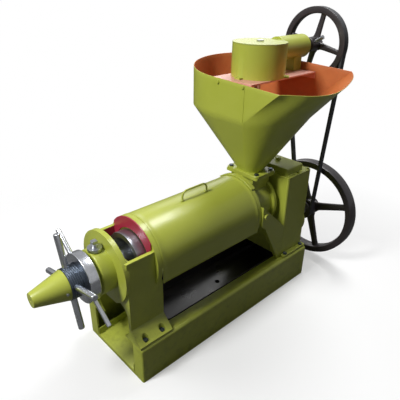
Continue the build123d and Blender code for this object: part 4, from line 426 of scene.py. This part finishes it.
def turned(profile, origin, direction, steps):
    """Turn a closed profile of (distance, radius) round an axis: the point at distance d and radius r
    goes to origin + d * axis + r * (cos t * side + sin t * up), for t over a whole turn."""
    axis = np.array(direction, float) / np.linalg.norm(direction)
    helper = np.array([0.0, 0.0, 1.0]) if abs(axis[2]) < 0.9 else np.array([0.0, 1.0, 0.0])
    side = np.cross(axis, helper)
    side /= np.linalg.norm(side)
    up = np.cross(axis, side)
    t = np.linspace(0, TAU, steps, endpoint=False)
    ring = np.cos(t)[:, None] * side + np.sin(t)[:, None] * up
    profile = np.asarray(profile, float)
    return grid_shell(np.array(origin, float) + profile[:, None, :1] * axis
                      + np.maximum(profile[:, None, 1:], 1e-5) * ring[None], True, True)


def swept(section, path, normal, closed):
    """Carry a closed section along a flat path: each path point gets the section in the plane of the
    path's normal and of the direction square to the path."""
    section, path = np.asarray(section, float), np.asarray(path, float)
    if closed:
        ahead = np.roll(path, -1, 0) - np.roll(path, 1, 0)
    else:
        ahead = np.gradient(path, axis=0)
    ahead /= np.linalg.norm(ahead, axis=1, keepdims=True)
    side = np.cross(ahead, normal)
    side /= np.linalg.norm(side, axis=1, keepdims=True)
    across, along = section[None, :, :1] * side[:, None], section[None, :, 1:] * np.array(normal)
    return grid_shell(path[:, None] + across + along, closed, True)


def oval(radius, count, power=2.0):
    """Section of a bar or a cast arm: a superellipse, round at power 2 and squarer above it."""
    t = np.linspace(0, TAU, count, endpoint=False)
    ring = np.stack([np.cos(t), np.sin(t)], -1)
    return radius * np.sign(ring) * np.abs(ring) ** (2 / power)


def curve_through(points, count):
    """A smooth curve through points: cubic pieces by chord length whose slope and bend agree where they
    meet, and whose slope at each end is that of the cubic through the four points nearest to it."""
    points = np.asarray(points, float)
    t = np.append(0, np.cumsum(np.linalg.norm(np.diff(points, axis=0), axis=1)))
    step = np.diff(t)
    rate = np.diff(points, axis=0) / step[:, None]
    inner = np.arange(1, len(t) - 1)
    system, wanted = np.eye(len(t)), np.zeros_like(points)
    system[inner, inner - 1] = step[1:]
    system[inner, inner] = 2 * (step[1:] + step[:-1])
    system[inner, inner + 1] = step[:-1]
    wanted[inner] = 3 * (step[1:, None] * rate[:-1] + step[:-1, None] * rate[1:])
    for end, near in ((0, slice(0, 4)), (-1, slice(-4, None))):
        cubic = np.polyfit(t[near] - t[end], points[near], 3)
        wanted[end] = cubic[2]
    slope = np.linalg.solve(system, wanted)
    u = np.linspace(0, t[-1], count, endpoint=False)
    piece = np.clip(np.searchsorted(t, u, side="right") - 1, 0, len(step) - 1)
    s = ((u - t[piece]) / step[piece])[:, None]
    ahead, behind = s * s * (3 - 2 * s), (1 - s) ** 2 * (1 + 2 * s)
    return (behind * points[piece] + ahead * points[piece + 1]
            + step[piece, None] * (s * (1 - s) ** 2 * slope[piece] - s * s * (1 - s) * slope[piece + 1]))


# Objects

def place_mesh(name, mesh, node, finish, angle):
    """Make the object of a finished mesh: its finish, smooth faces whose edges are sharp past the angle,
    and the frame node that it stands for, with that node's body and slot."""
    piece = bpy.data.objects.new(name, mesh)
    bpy.context.scene.collection.objects.link(piece)
    mesh.materials.clear()
    mesh.materials.append(finish_for(finish or SLOT_OF[node]))
    mesh.shade_smooth()
    mesh.set_sharp_from_angle(angle=math.radians(angle))
    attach(piece, BODY_OF[node])
    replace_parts(piece, node)
    return piece


def add_piece(name, node, *shells, finish=None, closed=True, angle=35.0):
    """Make one object from shells of (points, quads, ends); a closed one gets its faces outwards."""
    faces, count = [], 0
    for points, quads, ends in shells:
        faces += (quads + count).tolist() + [(end + count).tolist() for end in ends]
        count += len(points)
    mesh = bpy.data.meshes.new(name)
    mesh.from_pydata(np.concatenate([shell[0] for shell in shells]).tolist(), [], faces)
    mesh.update()
    if closed:
        work = bmesh.new()
        work.from_mesh(mesh)
        bmesh.ops.recalc_face_normals(work, faces=work.faces)
        work.to_mesh(mesh)
        work.free()
    return place_mesh(name, mesh, node, finish, angle)


def dressed_node(node, edge, finish=None):
    """A finer copy of a frame node: its points are merged, flat faces joined and its edges rounded."""
    work = bmesh.new()
    work.from_mesh(frame["nodes"][node].data)
    bmesh.ops.remove_doubles(work, verts=work.verts, dist=1e-6)
    bmesh.ops.dissolve_limit(work, angle_limit=math.radians(0.5), verts=work.verts, edges=work.edges)
    mesh = bpy.data.meshes.new("dressed_" + node)
    work.to_mesh(mesh)
    work.free()
    piece = place_mesh("dressed_" + node, mesh, node, finish, 32.0)
    round_edges = piece.modifiers.new("edges", "BEVEL")
    round_edges.width = edge
    round_edges.segments = 2
    round_edges.limit_method = "ANGLE"
    round_edges.angle_limit = math.radians(38)
    round_edges.harden_normals = True
    return piece


def dress_nodes(nodes, edge):
    """Give each of these frame nodes a finer copy in its own finish."""
    for node in nodes:
        dressed_node(node, edge)


# Pieces

class PRESS_OT_castings(Operator):
    """Cast and welded parts in green enamel, with rounded edges, and the frame below them."""
    bl_idname = "press.castings"
    bl_label = "Frame and castings"

    def execute(self, context):
        edge = context.scene.press_sizes.edge
        dress_nodes(("base_frame", "feed_housing", "gearbox_case", "gearbox_lid", "cover_strip",
                     "input_cap", "output_cap"), 2 * edge)
        dress_nodes(("oil_tray", "cake_chute", "bridge_plate", "feeder_housing", "feeder_tube"), edge)
        mesh = dressed_node("discharge_housing", edge).data
        mesh.materials.append(finish_for("red_paint"))
        work = bmesh.new()
        work.from_mesh(mesh)
        bmesh.ops.bisect_plane(work, geom=work.verts[:] + work.edges[:] + work.faces[:],
                               plane_co=(0, 0, RED_FROM_Z), plane_no=(0, 0, 1))
        work.to_mesh(mesh)
        work.free()
        self.paint_chamber(mesh)
        return {"FINISHED"}

    def paint_chamber(self, mesh):
        """Red paint on each face of the outlet chamber that looks at the press line: inside the legs,
        ahead of the ring wall and above the chute."""
        count = len(mesh.polygons)
        centre, normal = np.empty(count * 3), np.empty(count * 3)
        mesh.polygons.foreach_get("center", centre)
        mesh.polygons.foreach_get("normal", normal)
        centre, normal = centre.reshape(-1, 3), normal.reshape(-1, 3)
        start, end = BOXES["grease_cup"][1].x + 0.01, BOXES["guard_plate"][0].x + 0.012
        to_line = -centre * np.array([0, 1, 1]) + np.array([0, 0, LINE_Z])
        inward = (normal * to_line).sum(1) > RED_FACING * np.linalg.norm(to_line, axis=1)
        inside = (centre[:, 0] > start) & (centre[:, 0] < end) & (centre[:, 2] > RED_FROM_Z)
        mesh.polygons.foreach_set("material_index", (inward & inside).astype(int))


class PRESS_OT_cover(Operator):
    """Half-round sheet cover over the cage with hemmed ends, and its wire handle."""
    bl_idname = "press.cover"
    bl_label = "Cover and handle"

    def execute(self, context):
        low, high = BOXES["cover"]
        radius = (high.y - low.y) / 2
        centre_z = high.z - radius
        # The section is a line up the near skirt, a half circle, and a line down the far skirt. Along
        # the press the sheet is straight and swells a little at its two hems.
        skirt, arch, middle = 7, 73, 24
        drop = np.linspace(low.z, centre_z, skirt + 1)[:-1]
        turn = np.linspace(math.pi, 0, arch)
        ys = np.concatenate([np.full(skirt, -1.0), np.cos(turn), np.full(skirt, 1.0)])
        zs = np.concatenate([drop, np.full(arch, centre_z), drop[::-1]])
        up = np.concatenate([np.zeros(skirt), np.sin(turn), np.zeros(skirt)])
        x = np.array([0, 0.0015, 0.003, HEM - 0.002, HEM, HEM + 0.0015])
        rise = np.array([-0.0008, 0, 0, 0, -0.0005, -HEM_RISE])
        x = np.concatenate([low.x + x, np.linspace(low.x + SHEET_START, high.x - SHEET_START, middle),
                            high.x - x[::-1]])
        reach = radius + np.concatenate([rise, np.full(middle, -HEM_RISE), rise[::-1]])
        points = np.stack(np.broadcast_arrays(x[:, None], ys[None] * reach[:, None],
                                              zs[None] + up[None] * reach[:, None]), -1)
        piece = add_piece("cover_shell", "cover", grid_shell(points, False, False), closed=False)
        wall = piece.modifiers.new("wall", "SOLIDIFY")
        wall.thickness = context.scene.press_sizes.sheet
        wall.offset = -1.0
        self.handle()
        return {"FINISHED"}

    def handle(self):
        """A round bar carried along two uprights and a grip, with a welded foot at each end."""
        low, high = BOXES["cover_handle"]
        y = (low.y + high.y) / 2
        x0, x1 = low.x + 2 * WIRE, high.x - 2 * WIRE
        top = high.z - WIRE
        ends = np.array([[x0, y, low.z + 0.001], [x1, y, low.z + 0.001]])
        t = np.linspace(0, math.pi / 2, 9)
        flat, bend = np.full(9, y), top - WIRE_BEND
        c, s = WIRE_BEND * np.cos(t), WIRE_BEND * np.sin(t)
        first = np.stack([x0 + WIRE_BEND - c, flat, bend + s], -1)
        second = np.stack([x1 - WIRE_BEND + s, flat, bend + c], -1)
        grip = np.linspace(x0 + WIRE_BEND, x1 - WIRE_BEND, 12)[1:-1]
        middle = np.stack([grip, np.full(10, y), np.full(10, top)], -1)
        path = np.concatenate([ends[:1], first, middle, second, ends[1:]])
        rod = swept(oval(WIRE, 16), path, (0, 1, 0), False)
        feet = [turned(WELD_BEAD, (x, y, low.z), (0, 0, 1), 24) for x in (x0, x1)]
        add_piece("cover_grip", "cover_handle", rod, *feet, finish="green_paint")


class PRESS_OT_hopper(Operator):
    """Seed hopper of folded sheet: green outside, primed inside, with a dressed rim."""
    bl_idname = "press.hopper"
    bl_label = "Hopper"

    def execute(self, context):
        outer = self.loops(0.0)
        inner = self.loops(context.scene.press_sizes.hopper_sheet)
        rim_out, rim_in = outer[-1], inner[-1]
        t = np.linspace(0, math.pi, 6)[1:-1, None, None]
        middle, half = (rim_out + rim_in) / 2, (rim_out - rim_in) / 2
        rise = np.array([0, 0, SOFT_EDGE])
        rim = middle + half * np.cos(t) + rise * np.sin(t) - rise
        rows = np.concatenate([outer, rim, inner[::-1]])
        rows[len(outer) - 1, :, 2] -= SOFT_EDGE
        rows[len(outer) + len(rim), :, 2] -= SOFT_EDGE
        piece = add_piece("hopper_shell", "hopper", grid_shell(rows, True, True), self.foot_plate(),
                          self.lap(), angle=30.0)
        piece.data.materials.append(finish_for("hopper_primer"))
        inside_rows = np.arange(len(rows)) >= len(outer) + 1
        index = np.repeat(inside_rows, rows.shape[1]).astype(int)
        faces = np.zeros(len(piece.data.polygons), int)
        faces[:len(index)] = index
        piece.data.polygons.foreach_set("material_index", faces)
        return {"FINISHED"}

    def outline(self, centre_x, inset, half, far_y, far_reach, back_y, front_y, near):
        """One turn of the hopper, seen from above: front line, far half ellipse, back line, and a curve
        through the near points that meets the back and the front at a corner."""
        half, far_reach = half - inset, far_reach - inset
        front_x, back_x = centre_x - half, centre_x + half
        straight, arc = 16, 56
        front = np.linspace(front_y, far_y, straight, endpoint=False)
        back = np.linspace(far_y, back_y, straight, endpoint=False)
        turn = np.linspace(math.pi, 0, arc, endpoint=False)
        far = np.stack([centre_x + half * np.cos(turn), far_y + far_reach * np.sin(turn)], -1)
        corners = [(back_x, back_y)] + [(x, y + inset) for x, y in near] + [(front_x, front_y)]
        return np.concatenate([np.column_stack([np.full(straight, front_x), front]), far,
                               np.column_stack([np.full(straight, back_x), back]),
                               curve_through(corners, 2 * arc)])

    def loops(self, inset):
        """Level outlines of the hopper at its foot, fold and rim; between two levels every point moves
        on a straight line, and the rim is cut on a slope."""
        foot_z = BOXES["hopper"][0].z + FOOT_PLATE
        foot = self.outline(FEED_X, inset, **FOOT_OUTLINE)
        fold = self.outline(HOPPER_X, inset, **FOLD_OUTLINE)
        lip = self.outline(HOPPER_X, inset, **RIM_OUTLINE)
        behind = lip[:, 0] - HOPPER_X + RIM_OUTLINE["half"]
        lip_z = RIM_Z + RIM_SLOPE_X * behind + RIM_SLOPE_Y * lip[:, 1]
        cone = np.linspace(0, 1, 14)[:, None, None]
        wall = np.linspace(0, 1, 10)[1:, None, None]
        xy = np.concatenate([(1 - cone) * foot + cone * fold, (1 - wall) * fold + wall * lip])
        z = np.concatenate([foot_z * np.ones(len(foot)) + cone[..., 0] * (FOLD_Z - foot_z),
                            (1 - wall[..., 0]) * FOLD_Z + wall[..., 0] * lip_z])
        return np.concatenate([xy, z[..., None]], -1)

    def lap(self):
        """Lapped sheet edge down the front wall: a low wedge whose height grows to one sheet's worth of
        paint and falls off sharply at the seam."""
        front, seam = HOPPER_X - FOLD_OUTLINE["half"], FOLD_OUTLINE["front_y"]
        y = seam + np.array([0.016, 0.010, 0.0005, 0.0, -0.0008])
        rise = np.array([-0.0005, 0.0007, 0.0018, 0.0012, -0.0005])
        z = np.linspace(FOLD_Z + 0.002, RIM_Z - 0.006, 24)
        points = np.stack(np.broadcast_arrays(front - rise[None], y[None], z[:, None]), -1)
        back = np.stack(np.broadcast_arrays(np.full((1, 5), front + 0.0008), y[None], z[:, None]), -1)
        return grid_shell(np.concatenate([points, back[:, ::-1]], 1), False, True)

    def foot_plate(self):
        """Bolted plate under the cone: a rounded rectangle with the cone's oval mouth cut out."""
        low_z, count = BOXES["hopper"][0].z, 144
        corners = np.array([[FEED_X - PLATE_X, -PLATE_Y], [FEED_X + PLATE_X, -PLATE_Y],
                            [FEED_X + PLATE_X, PLATE_Y], [FEED_X - PLATE_X, PLATE_Y]])
        ring = eased(corners, PLATE_CORNER, 8)
        along = np.linspace(0, len(ring), count, endpoint=False)
        ring = np.stack([np.interp(along, np.arange(len(ring) + 1), np.append(ring[:, i], ring[0, i]))
                         for i in (0, 1)], -1)
        angle = np.arctan2(ring[:, 1], ring[:, 0] - FEED_X)
        mouth = np.stack([FEED_X + MOUTH_X * np.cos(angle), MOUTH_Y * np.sin(angle)], -1)
        edge = ring * 0.99 + np.array([FEED_X, 0]) * 0.01
        levels = [(mouth, 0), (edge, 0), (ring, SOFT_EDGE), (ring, FOOT_PLATE - SOFT_EDGE),
                  (edge, FOOT_PLATE), (mouth, FOOT_PLATE)]
        rows = [np.column_stack([xy, np.full(count, low_z + z)]) for xy, z in levels]
        return grid_shell(np.stack(rows), True, True)


class PRESS_OT_wheels(Operator):
    """The big driven wheel, the feeder's wheel and its small pulley, as cast iron with turned rims."""
    bl_idname = "press.wheels"
    bl_label = "Wheels and pulleys"

    def execute(self, context):
        size = context.scene.press_sizes
        width, centre = width_of("big_pulley", 0), (INPUT_Y, INPUT_Z)
        add_piece("big_wheel", "big_pulley", *self.wheel(size, "big_pulley", width, centre, **BIG_WHEEL))
        width, centre = BELT_WHEEL_WIDTH, (0.0, FEEDER_Z)
        shells = self.wheel(size, "feeder_wheel", width, centre, **BELT_WHEEL)
        add_piece("feeder_belt_wheel", "feeder_wheel", *shells)
        width, radius = width_of("belt_pulley", 0), width_of("belt_pulley", 2) / 2
        start = (BOXES["belt_pulley"][0].x, INPUT_Y, INPUT_Z)
        profile = eased(self.grooved(width, radius, PULLEY_BORE), 0.0012)
        add_piece("small_belt_pulley", "belt_pulley", turned(profile, start, X_AXIS, size.steps))
        return {"FINISHED"}

    def grooved(self, width, radius, inner):
        """Rim section with the belt's groove: 0.3 mm of room beside the belt and 2 mm below it."""
        m = width / 2
        mouth, floor, deep = BELT_WIDTH / 2 + 0.0003, BELT_WIDTH / 2 - 0.0022, BELT_DEPTH + 0.002
        return [(0, inner), (0, radius), (m - mouth, radius), (m - floor, radius - BELT_DEPTH),
                (m - floor, radius - deep), (m + floor, radius - deep), (m + floor, radius - BELT_DEPTH),
                (m + mouth, radius), (width, radius), (width, inner)]

    def crowned(self, width, radius, inner, crown):
        """Rim section whose outside is higher in its middle by the crown."""
        return [(0, inner), (0, radius - crown), (width * 0.25, radius - crown * 0.25),
                (width / 2, radius), (width * 0.75, radius - crown * 0.25), (width, radius - crown),
                (width, inner)]

    def wheel(self, size, node, width, line, rim, hub, bore, first, spoke, thick):
        """Rim and hub turned round the wheel's line, and four spokes whose oval section narrows toward
        the rim and flares where it meets rim and hub."""
        low, high = BOXES[node]
        radius = (high.z - low.z) / 2
        x, y, z = high.x - width, *line
        slope = radius - rim + (0.004 if node == "feeder_wheel" else 0.006)
        if node == "feeder_wheel":
            section = self.grooved(width, radius, slope)
        else:
            section = self.crowned(width, radius, slope, size.wheel_crown)
        section = section + [(width / 2, radius - rim)]
        shells = [turned(eased(section, 0.003), (x, y, z), X_AXIS, 2 * size.steps)]
        end = high.x - low.x
        hub_section = [(0, bore), (0, hub - 0.002), (end / 2, hub), (end, hub - 0.002), (end, bore)]
        shells.append(turned(eased(hub_section, 0.003), (low.x, y, z), X_AXIS, size.steps))
        inner, outer = hub - 0.006, radius - rim + 0.006
        s = np.linspace(0, 1, 28)
        flare = 0.06
        near_hub, near_rim = np.exp(-s / flare), np.exp(-(1 - s) / flare)
        half_wide = spoke / 2 * (1 - 0.28 * s) * (1 + 0.45 * near_hub + 0.35 * near_rim)
        half_deep = thick / 2 * (1 + 0.12 * near_hub + 0.12 * near_rim)
        section = oval(1.0, 28, 2.6)
        for k in range(4):
            turn = math.radians(first + 90 * k)
            out = np.array([0, math.cos(turn), math.sin(turn)])
            across = np.array([0, -math.sin(turn), math.cos(turn)])
            centre = np.array([x + width / 2, y, z]) + (inner + s * (outer - inner))[:, None] * out
            points = (centre[:, None] + (half_wide[:, None] * section[None, :, 0])[..., None] * across
                      + (half_deep[:, None] * section[None, :, 1])[..., None] * np.array(X_AXIS))
            shells.append(grid_shell(points, False, True))
        return shells


class PRESS_OT_belt(Operator):
    """V-belt from the input shaft up to the feeder's wheel."""
    bl_idname = "press.belt"
    bl_label = "Feeder belt"

    def execute(self, context):
        small, large = width_of("belt_pulley", 2) / 2, width_of("feeder_wheel", 2) / 2
        low_centre, high_centre = np.array([INPUT_Y, INPUT_Z]), np.array([0.0, FEEDER_Z])
        line = high_centre - low_centre
        span = np.linalg.norm(line)
        heading = math.atan2(line[1], line[0])
        side = math.acos((small - large) / span)
        # The belt's outer line: an arc round each wheel and the two tangents that join the arcs.
        a = np.linspace(heading + side, heading + TAU - side, 48)
        b = np.linspace(heading - side, heading + side, 96)
        lower = low_centre + small * np.stack([np.cos(a), np.sin(a)], -1)
        upper = high_centre + large * np.stack([np.cos(b), np.sin(b)], -1)
        t = np.linspace(0, 1, 60)[1:-1, None]
        runs = [lower[-1] + t * (upper[0] - lower[-1]), upper[-1] + t * (lower[0] - upper[-1])]
        path = np.concatenate([lower, runs[0], upper, runs[1]])
        path = np.column_stack([np.full(len(path), middle_of("feeder_belt").x), path])
        half, foot = BELT_WIDTH / 2, BELT_WIDTH / 2 - BELT_TAPER
        section = eased([(0.0, -half), (0.0, half), (-BELT_DEPTH, foot), (-BELT_DEPTH, -foot)], 0.001)
        add_piece("feeder_v_belt", "feeder_belt", swept(section, path, X_AXIS, True), angle=40.0)
        return {"FINISHED"}


class PRESS_OT_adjuster(Operator):
    """Threaded sleeve with its four bars, the cone cap, and the lock ring with its two bars."""
    bl_idname = "press.adjuster"
    bl_label = "Adjusting sleeve and lock ring"

    def execute(self, context):
        size = context.scene.press_sizes
        self.sleeve(size)
        start, end, big = BOXES["cone_cap"][0].x, width_of("cone_cap", 0), width_of("cone_cap", 2) / 2
        cap = eased([(0, 0.004), (0, CAP_END), (end, big), (end, big - 0.006), (0.008, CAP_END - 0.004),
                     (0.005, 0.004)], 0.0015)
        add_piece("cone_end", "cone_cap", turned(cap, (start, 0, LINE_Z), X_AXIS, size.steps))
        start, end = BOXES["lock_ring"][0].x, width_of("lock_ring", 0)
        radius = width_of("lock_ring", 2) / 2
        ring = eased([(0, LOCK_BORE), (0, radius), (end, radius), (end, LOCK_BORE)], 0.005, 6)
        add_piece("lock_collar", "lock_ring", turned(ring, (start, 0, LINE_Z), X_AXIS, 2 * size.steps))
        add_piece("sleeve_rods", "sleeve_bars", *self.rods("sleeve_bars", size.steps // 2, **SLEEVE_RODS))
        add_piece("lock_rods", "lock_bars", *self.rods("lock_bars", size.steps // 2, **LOCK_RODS))
        return {"FINISHED"}

    def sleeve(self, size):
        """Radius at distance d and angle t: full, less the thread's depth times a zigzag of
        d / pitch - t / turn, faded in and out at the ends of the thread."""
        low, high = BOXES["adjusting_sleeve"]
        radius = (high.z - low.z) / 2
        start, end = 0.003, BOXES["lock_ring"][0].x - low.x
        d = np.concatenate([[0.0, 0.0008, 0.0016], np.arange(start, end, size.thread_pitch / 8),
                            np.linspace(end + 0.001, high.x - low.x - 0.001, 12), [high.x - low.x]])
        t = np.linspace(0, TAU, size.steps, endpoint=False)
        phase = (d[:, None] / size.thread_pitch - t[None] / TAU) % 1.0
        zigzag = np.clip(1.25 - np.abs(2 * phase - 1) * 2.5 + 0.1, 0, 1)
        fade = np.clip((d - 0.002) / 0.004, 0, 1) * np.clip((end - d) / 0.004, 0, 1)
        r = radius - size.thread_depth * zigzag * fade[:, None]
        r[0] -= SOFT_EDGE
        r[-1] -= SOFT_EDGE
        r = np.concatenate([r, np.full((2, size.steps), SLEEVE_BORE)])
        x = low.x + np.concatenate([d, [high.x - low.x, 0.0]])
        rows = np.stack([np.broadcast_to(x[:, None], r.shape), r * np.cos(t), LINE_Z + r * np.sin(t)], -1)
        add_piece("threaded_sleeve", "adjusting_sleeve", grid_shell(rows, True, True), angle=50.0)

    def rods(self, node, steps, count, lean, radius, root, reach):
        """Turned bars that stand out from the press line, each with a domed end."""
        t = np.linspace(0, math.pi / 2, 8)
        dome = 0.35 * radius
        tip = reach - root - dome
        end = zip(tip + dome * np.sin(t), radius - dome + dome * np.cos(t))
        profile = [(0, 0), (0, radius)] + list(end) + [(reach - root, 0)]
        shells = []
        for k in range(count):
            turn = math.radians(lean + 360.0 / count * k)
            out = np.array([0, math.sin(turn), math.cos(turn)])
            origin = np.array([middle_of(node).x, 0, LINE_Z]) + root * out
            shells.append(turned(profile, origin, out, steps))
        return shells


class PRESS_OT_outlet(Operator):
    """Guard plate, grease cup, outlet ring and the cone of the screw that closes against it."""
    bl_idname = "press.outlet"
    bl_label = "Outlet ring and cone"

    def execute(self, context):
        edge = context.scene.press_sizes.edge
        dress_nodes(("guard_plate", "choke_cone", "grease_cup"), edge)
        dressed_node("outlet_ring", edge, "ring_steel")
        return {"FINISHED"}


class PRESS_OT_drive(Operator):
    """Bolts and small parts with softened edges, and every frame node that is left, in its finish."""
    bl_idname = "press.drive"
    bl_label = "Drive, bolts and feeder"

    def execute(self, context):
        small_edge = 0.0006
        dress_nodes(("foot_bolts", "hub_bolt", "pulley_washer", "cone_screw"), small_edge)
        for node in ("bridge_bolts", "lid_bolts", "filler_plug", "arm_bolts", "cap_bolts"):
            dressed_node(node, small_edge, "green_paint")
        dressed_node("throat_bolts", small_edge, "dark_steel")
        # The feeder lid's paler green is meal dust and a painted sheen.
        dressed_node("feeder_lid", small_edge, "dust_and_sheen_paint")
        done = {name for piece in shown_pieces() for name in piece.get("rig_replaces", [])}
        for node in frame["nodes"]:
            if node not in done:
                mesh = frame["nodes"][node].data
                mesh.materials.clear()
                mesh.materials.append(finish_for(SLOT_OF[node]))
        return {"FINISHED"}


# Stage

class PRESS_OT_stage(Operator):
    """Pale floor that keeps the shadow, soft lamps from the left and above, and the camera."""
    bl_idname = "press.stage"
    bl_label = "Floor, lamps and camera"

    def execute(self, context):
        self.floor(context)
        self.world(context)
        self.lamps(context)
        self.camera(context)
        return {"FINISHED"}

    def floor(self, context):
        """A flat round sheet of points at growing distances from the press. The camera sees it pale, and
        whiter farther out; the press is lit by its darker bounce colour."""
        r = np.concatenate([[1e-4], np.geomspace(0.2, 40.0, 40)])
        t = np.linspace(0, TAU, 96, endpoint=False)
        x, y = r[:, None] * np.cos(t), r[:, None] * np.sin(t)
        points = np.stack([x, y, np.zeros_like(x)], -1).reshape(-1, 3)
        mesh = bpy.data.meshes.new("studio_floor")
        mesh.from_pydata(points.tolist(), [], grid_faces(len(r), len(t), False, True).tolist())
        mesh.update()
        floor = bpy.data.objects.new("studio_floor", mesh)
        context.scene.collection.objects.link(floor)
        material, tree, place = new_material("matt white studio floor")
        look = context.scene.press_finish
        ray = add_node(tree, "LightPath")
        tone = add_node(tree, "Mix", {"data_type": "RGBA", 6: hex_to_linear(look.floor_bounce),
                                      7: hex_to_linear(look.floor)}, {0: ray.outputs["Is Camera Ray"]})
        shader = add_node(tree, "BsdfPrincipled", {"Roughness": 0.9}, {"Base Color": tone.outputs[2]})
        glow = add_node(tree, "Emission", {"Color": (1, 1, 1, 1)})
        away = add_node(tree, "VectorMath", {"operation": "LENGTH"}, {0: place})
        fade = add_node(tree, "MapRange", {"From Min": 0.5, "From Max": 1.9, "To Min": 0.35},
                        {"Value": away.outputs["Value"]})
        share = add_node(tree, "Math", {"operation": "MULTIPLY"},
                         {0: ray.outputs["Is Camera Ray"], 1: fade})
        mix = add_node(tree, "MixShader", links={0: share, 1: shader, 2: glow})
        add_node(tree, "OutputMaterial", links={"Surface": mix})
        mesh.materials.append(material)
        floor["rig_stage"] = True

    def world(self, context):
        """White to the camera, partly white in reflections, and weak and even to everything else."""
        world = bpy.data.worlds.new("studio")
        context.scene.world = world
        world.use_nodes = True
        tree = world.node_tree
        tree.nodes.clear()
        ray = add_node(tree, "LightPath")
        shine = add_node(tree, "Math", {"operation": "MULTIPLY", 1: 0.4},
                         {0: ray.outputs["Is Glossy Ray"]})
        seen = add_node(tree, "Math", {"operation": "MAXIMUM"},
                        {0: ray.outputs["Is Camera Ray"], 1: shine})
        white = add_node(tree, "Background", {"Color": (1, 1, 1, 1)})
        weak = add_node(tree, "Background", {"Color": (1, 1, 1, 1), "Strength": 0.06})
        mix = add_node(tree, "MixShader", links={0: seen, 1: weak, 2: white})
        add_node(tree, "OutputWorld", links={"Surface": mix})

    def lamps(self, context):
        """Round area lamps that look at the middle of the press."""
        for name, spot, width, power in LAMPS:
            lamp = bpy.data.lights.new(name, "AREA")
            lamp.shape = "DISK"
            lamp.size = width
            lamp.energy = power
            placed = bpy.data.objects.new(name, lamp)
            placed.location = spot
            placed.rotation_euler = (Vector(LAMP_AIM) - Vector(spot)).to_track_quat("-Z", "Y").to_euler()
            context.scene.collection.objects.link(placed)

    def camera(self, context):
        """Where the photograph was taken from: angles round the press, a small roll, and its lens."""
        azimuth, elevation, roll = (math.radians(a) for a in CAMERA_ANGLES)
        back = Vector((math.sin(azimuth) * math.cos(elevation), -math.cos(azimuth) * math.cos(elevation),
                       math.sin(elevation)))
        right = (-back).cross(Vector((0, 0, 1))).normalized()
        up = right.cross(-back)
        level_right = math.cos(roll) * right + math.sin(roll) * up
        level_up = -math.sin(roll) * right + math.cos(roll) * up
        data = bpy.data.cameras.new("photo_camera")
        data.lens = CAMERA_LENS
        data.sensor_width = CAMERA_SENSOR
        data.clip_end = 100.0
        camera = bpy.data.objects.new("photo_camera", data)
        turn = Matrix((level_right, level_up, back)).transposed()
        camera.matrix_world = Matrix.LocRotScale(Vector(CAMERA_PLACE), turn, None)
        context.scene.collection.objects.link(camera)
        context.scene.camera = camera


# Add-on

class PRESS_PT_sidebar(Panel):
    """Lists the steps that dress the press, and its sizes and colours."""
    bl_idname = "PRESS_PT_sidebar"
    bl_label = "Screw Oil Press"
    bl_space_type = "VIEW_3D"
    bl_region_type = "UI"
    bl_category = "Oil Press"

    def draw(self, context):
        for step in STEPS:
            self.layout.operator(step.bl_idname, text=step.bl_label)
        for group in (context.scene.press_sizes, context.scene.press_finish):
            box = self.layout.box()
            for name in type(group).__annotations__:
                box.prop(group, name)


STEPS = (PRESS_OT_castings, PRESS_OT_cover, PRESS_OT_hopper, PRESS_OT_wheels, PRESS_OT_belt,
         PRESS_OT_adjuster, PRESS_OT_outlet, PRESS_OT_drive, PRESS_OT_stage)
CLASSES = (PressFinish, PressSizes) + STEPS + (PRESS_PT_sidebar,)


def register():
    """Make the press's classes and property groups known to Blender."""
    for item in CLASSES:
        bpy.utils.register_class(item)
    bpy.types.Scene.press_finish = PointerProperty(type=PressFinish)
    bpy.types.Scene.press_sizes = PointerProperty(type=PressSizes)


def unregister():
    """Take them out again."""
    del bpy.types.Scene.press_sizes
    del bpy.types.Scene.press_finish
    for item in reversed(CLASSES):
        bpy.utils.unregister_class(item)


def main():
    """Dress the press step by step."""
    register()
    bpy.context.scene.view_settings.view_transform = "Standard"
    bpy.ops.press.castings()
    bpy.ops.press.cover()
    bpy.ops.press.hopper()
    bpy.ops.press.wheels()
    bpy.ops.press.belt()
    bpy.ops.press.adjuster()
    bpy.ops.press.outlet()
    bpy.ops.press.drive()
    bpy.ops.press.stage()
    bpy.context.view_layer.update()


if __name__ == "__main__":
    main()
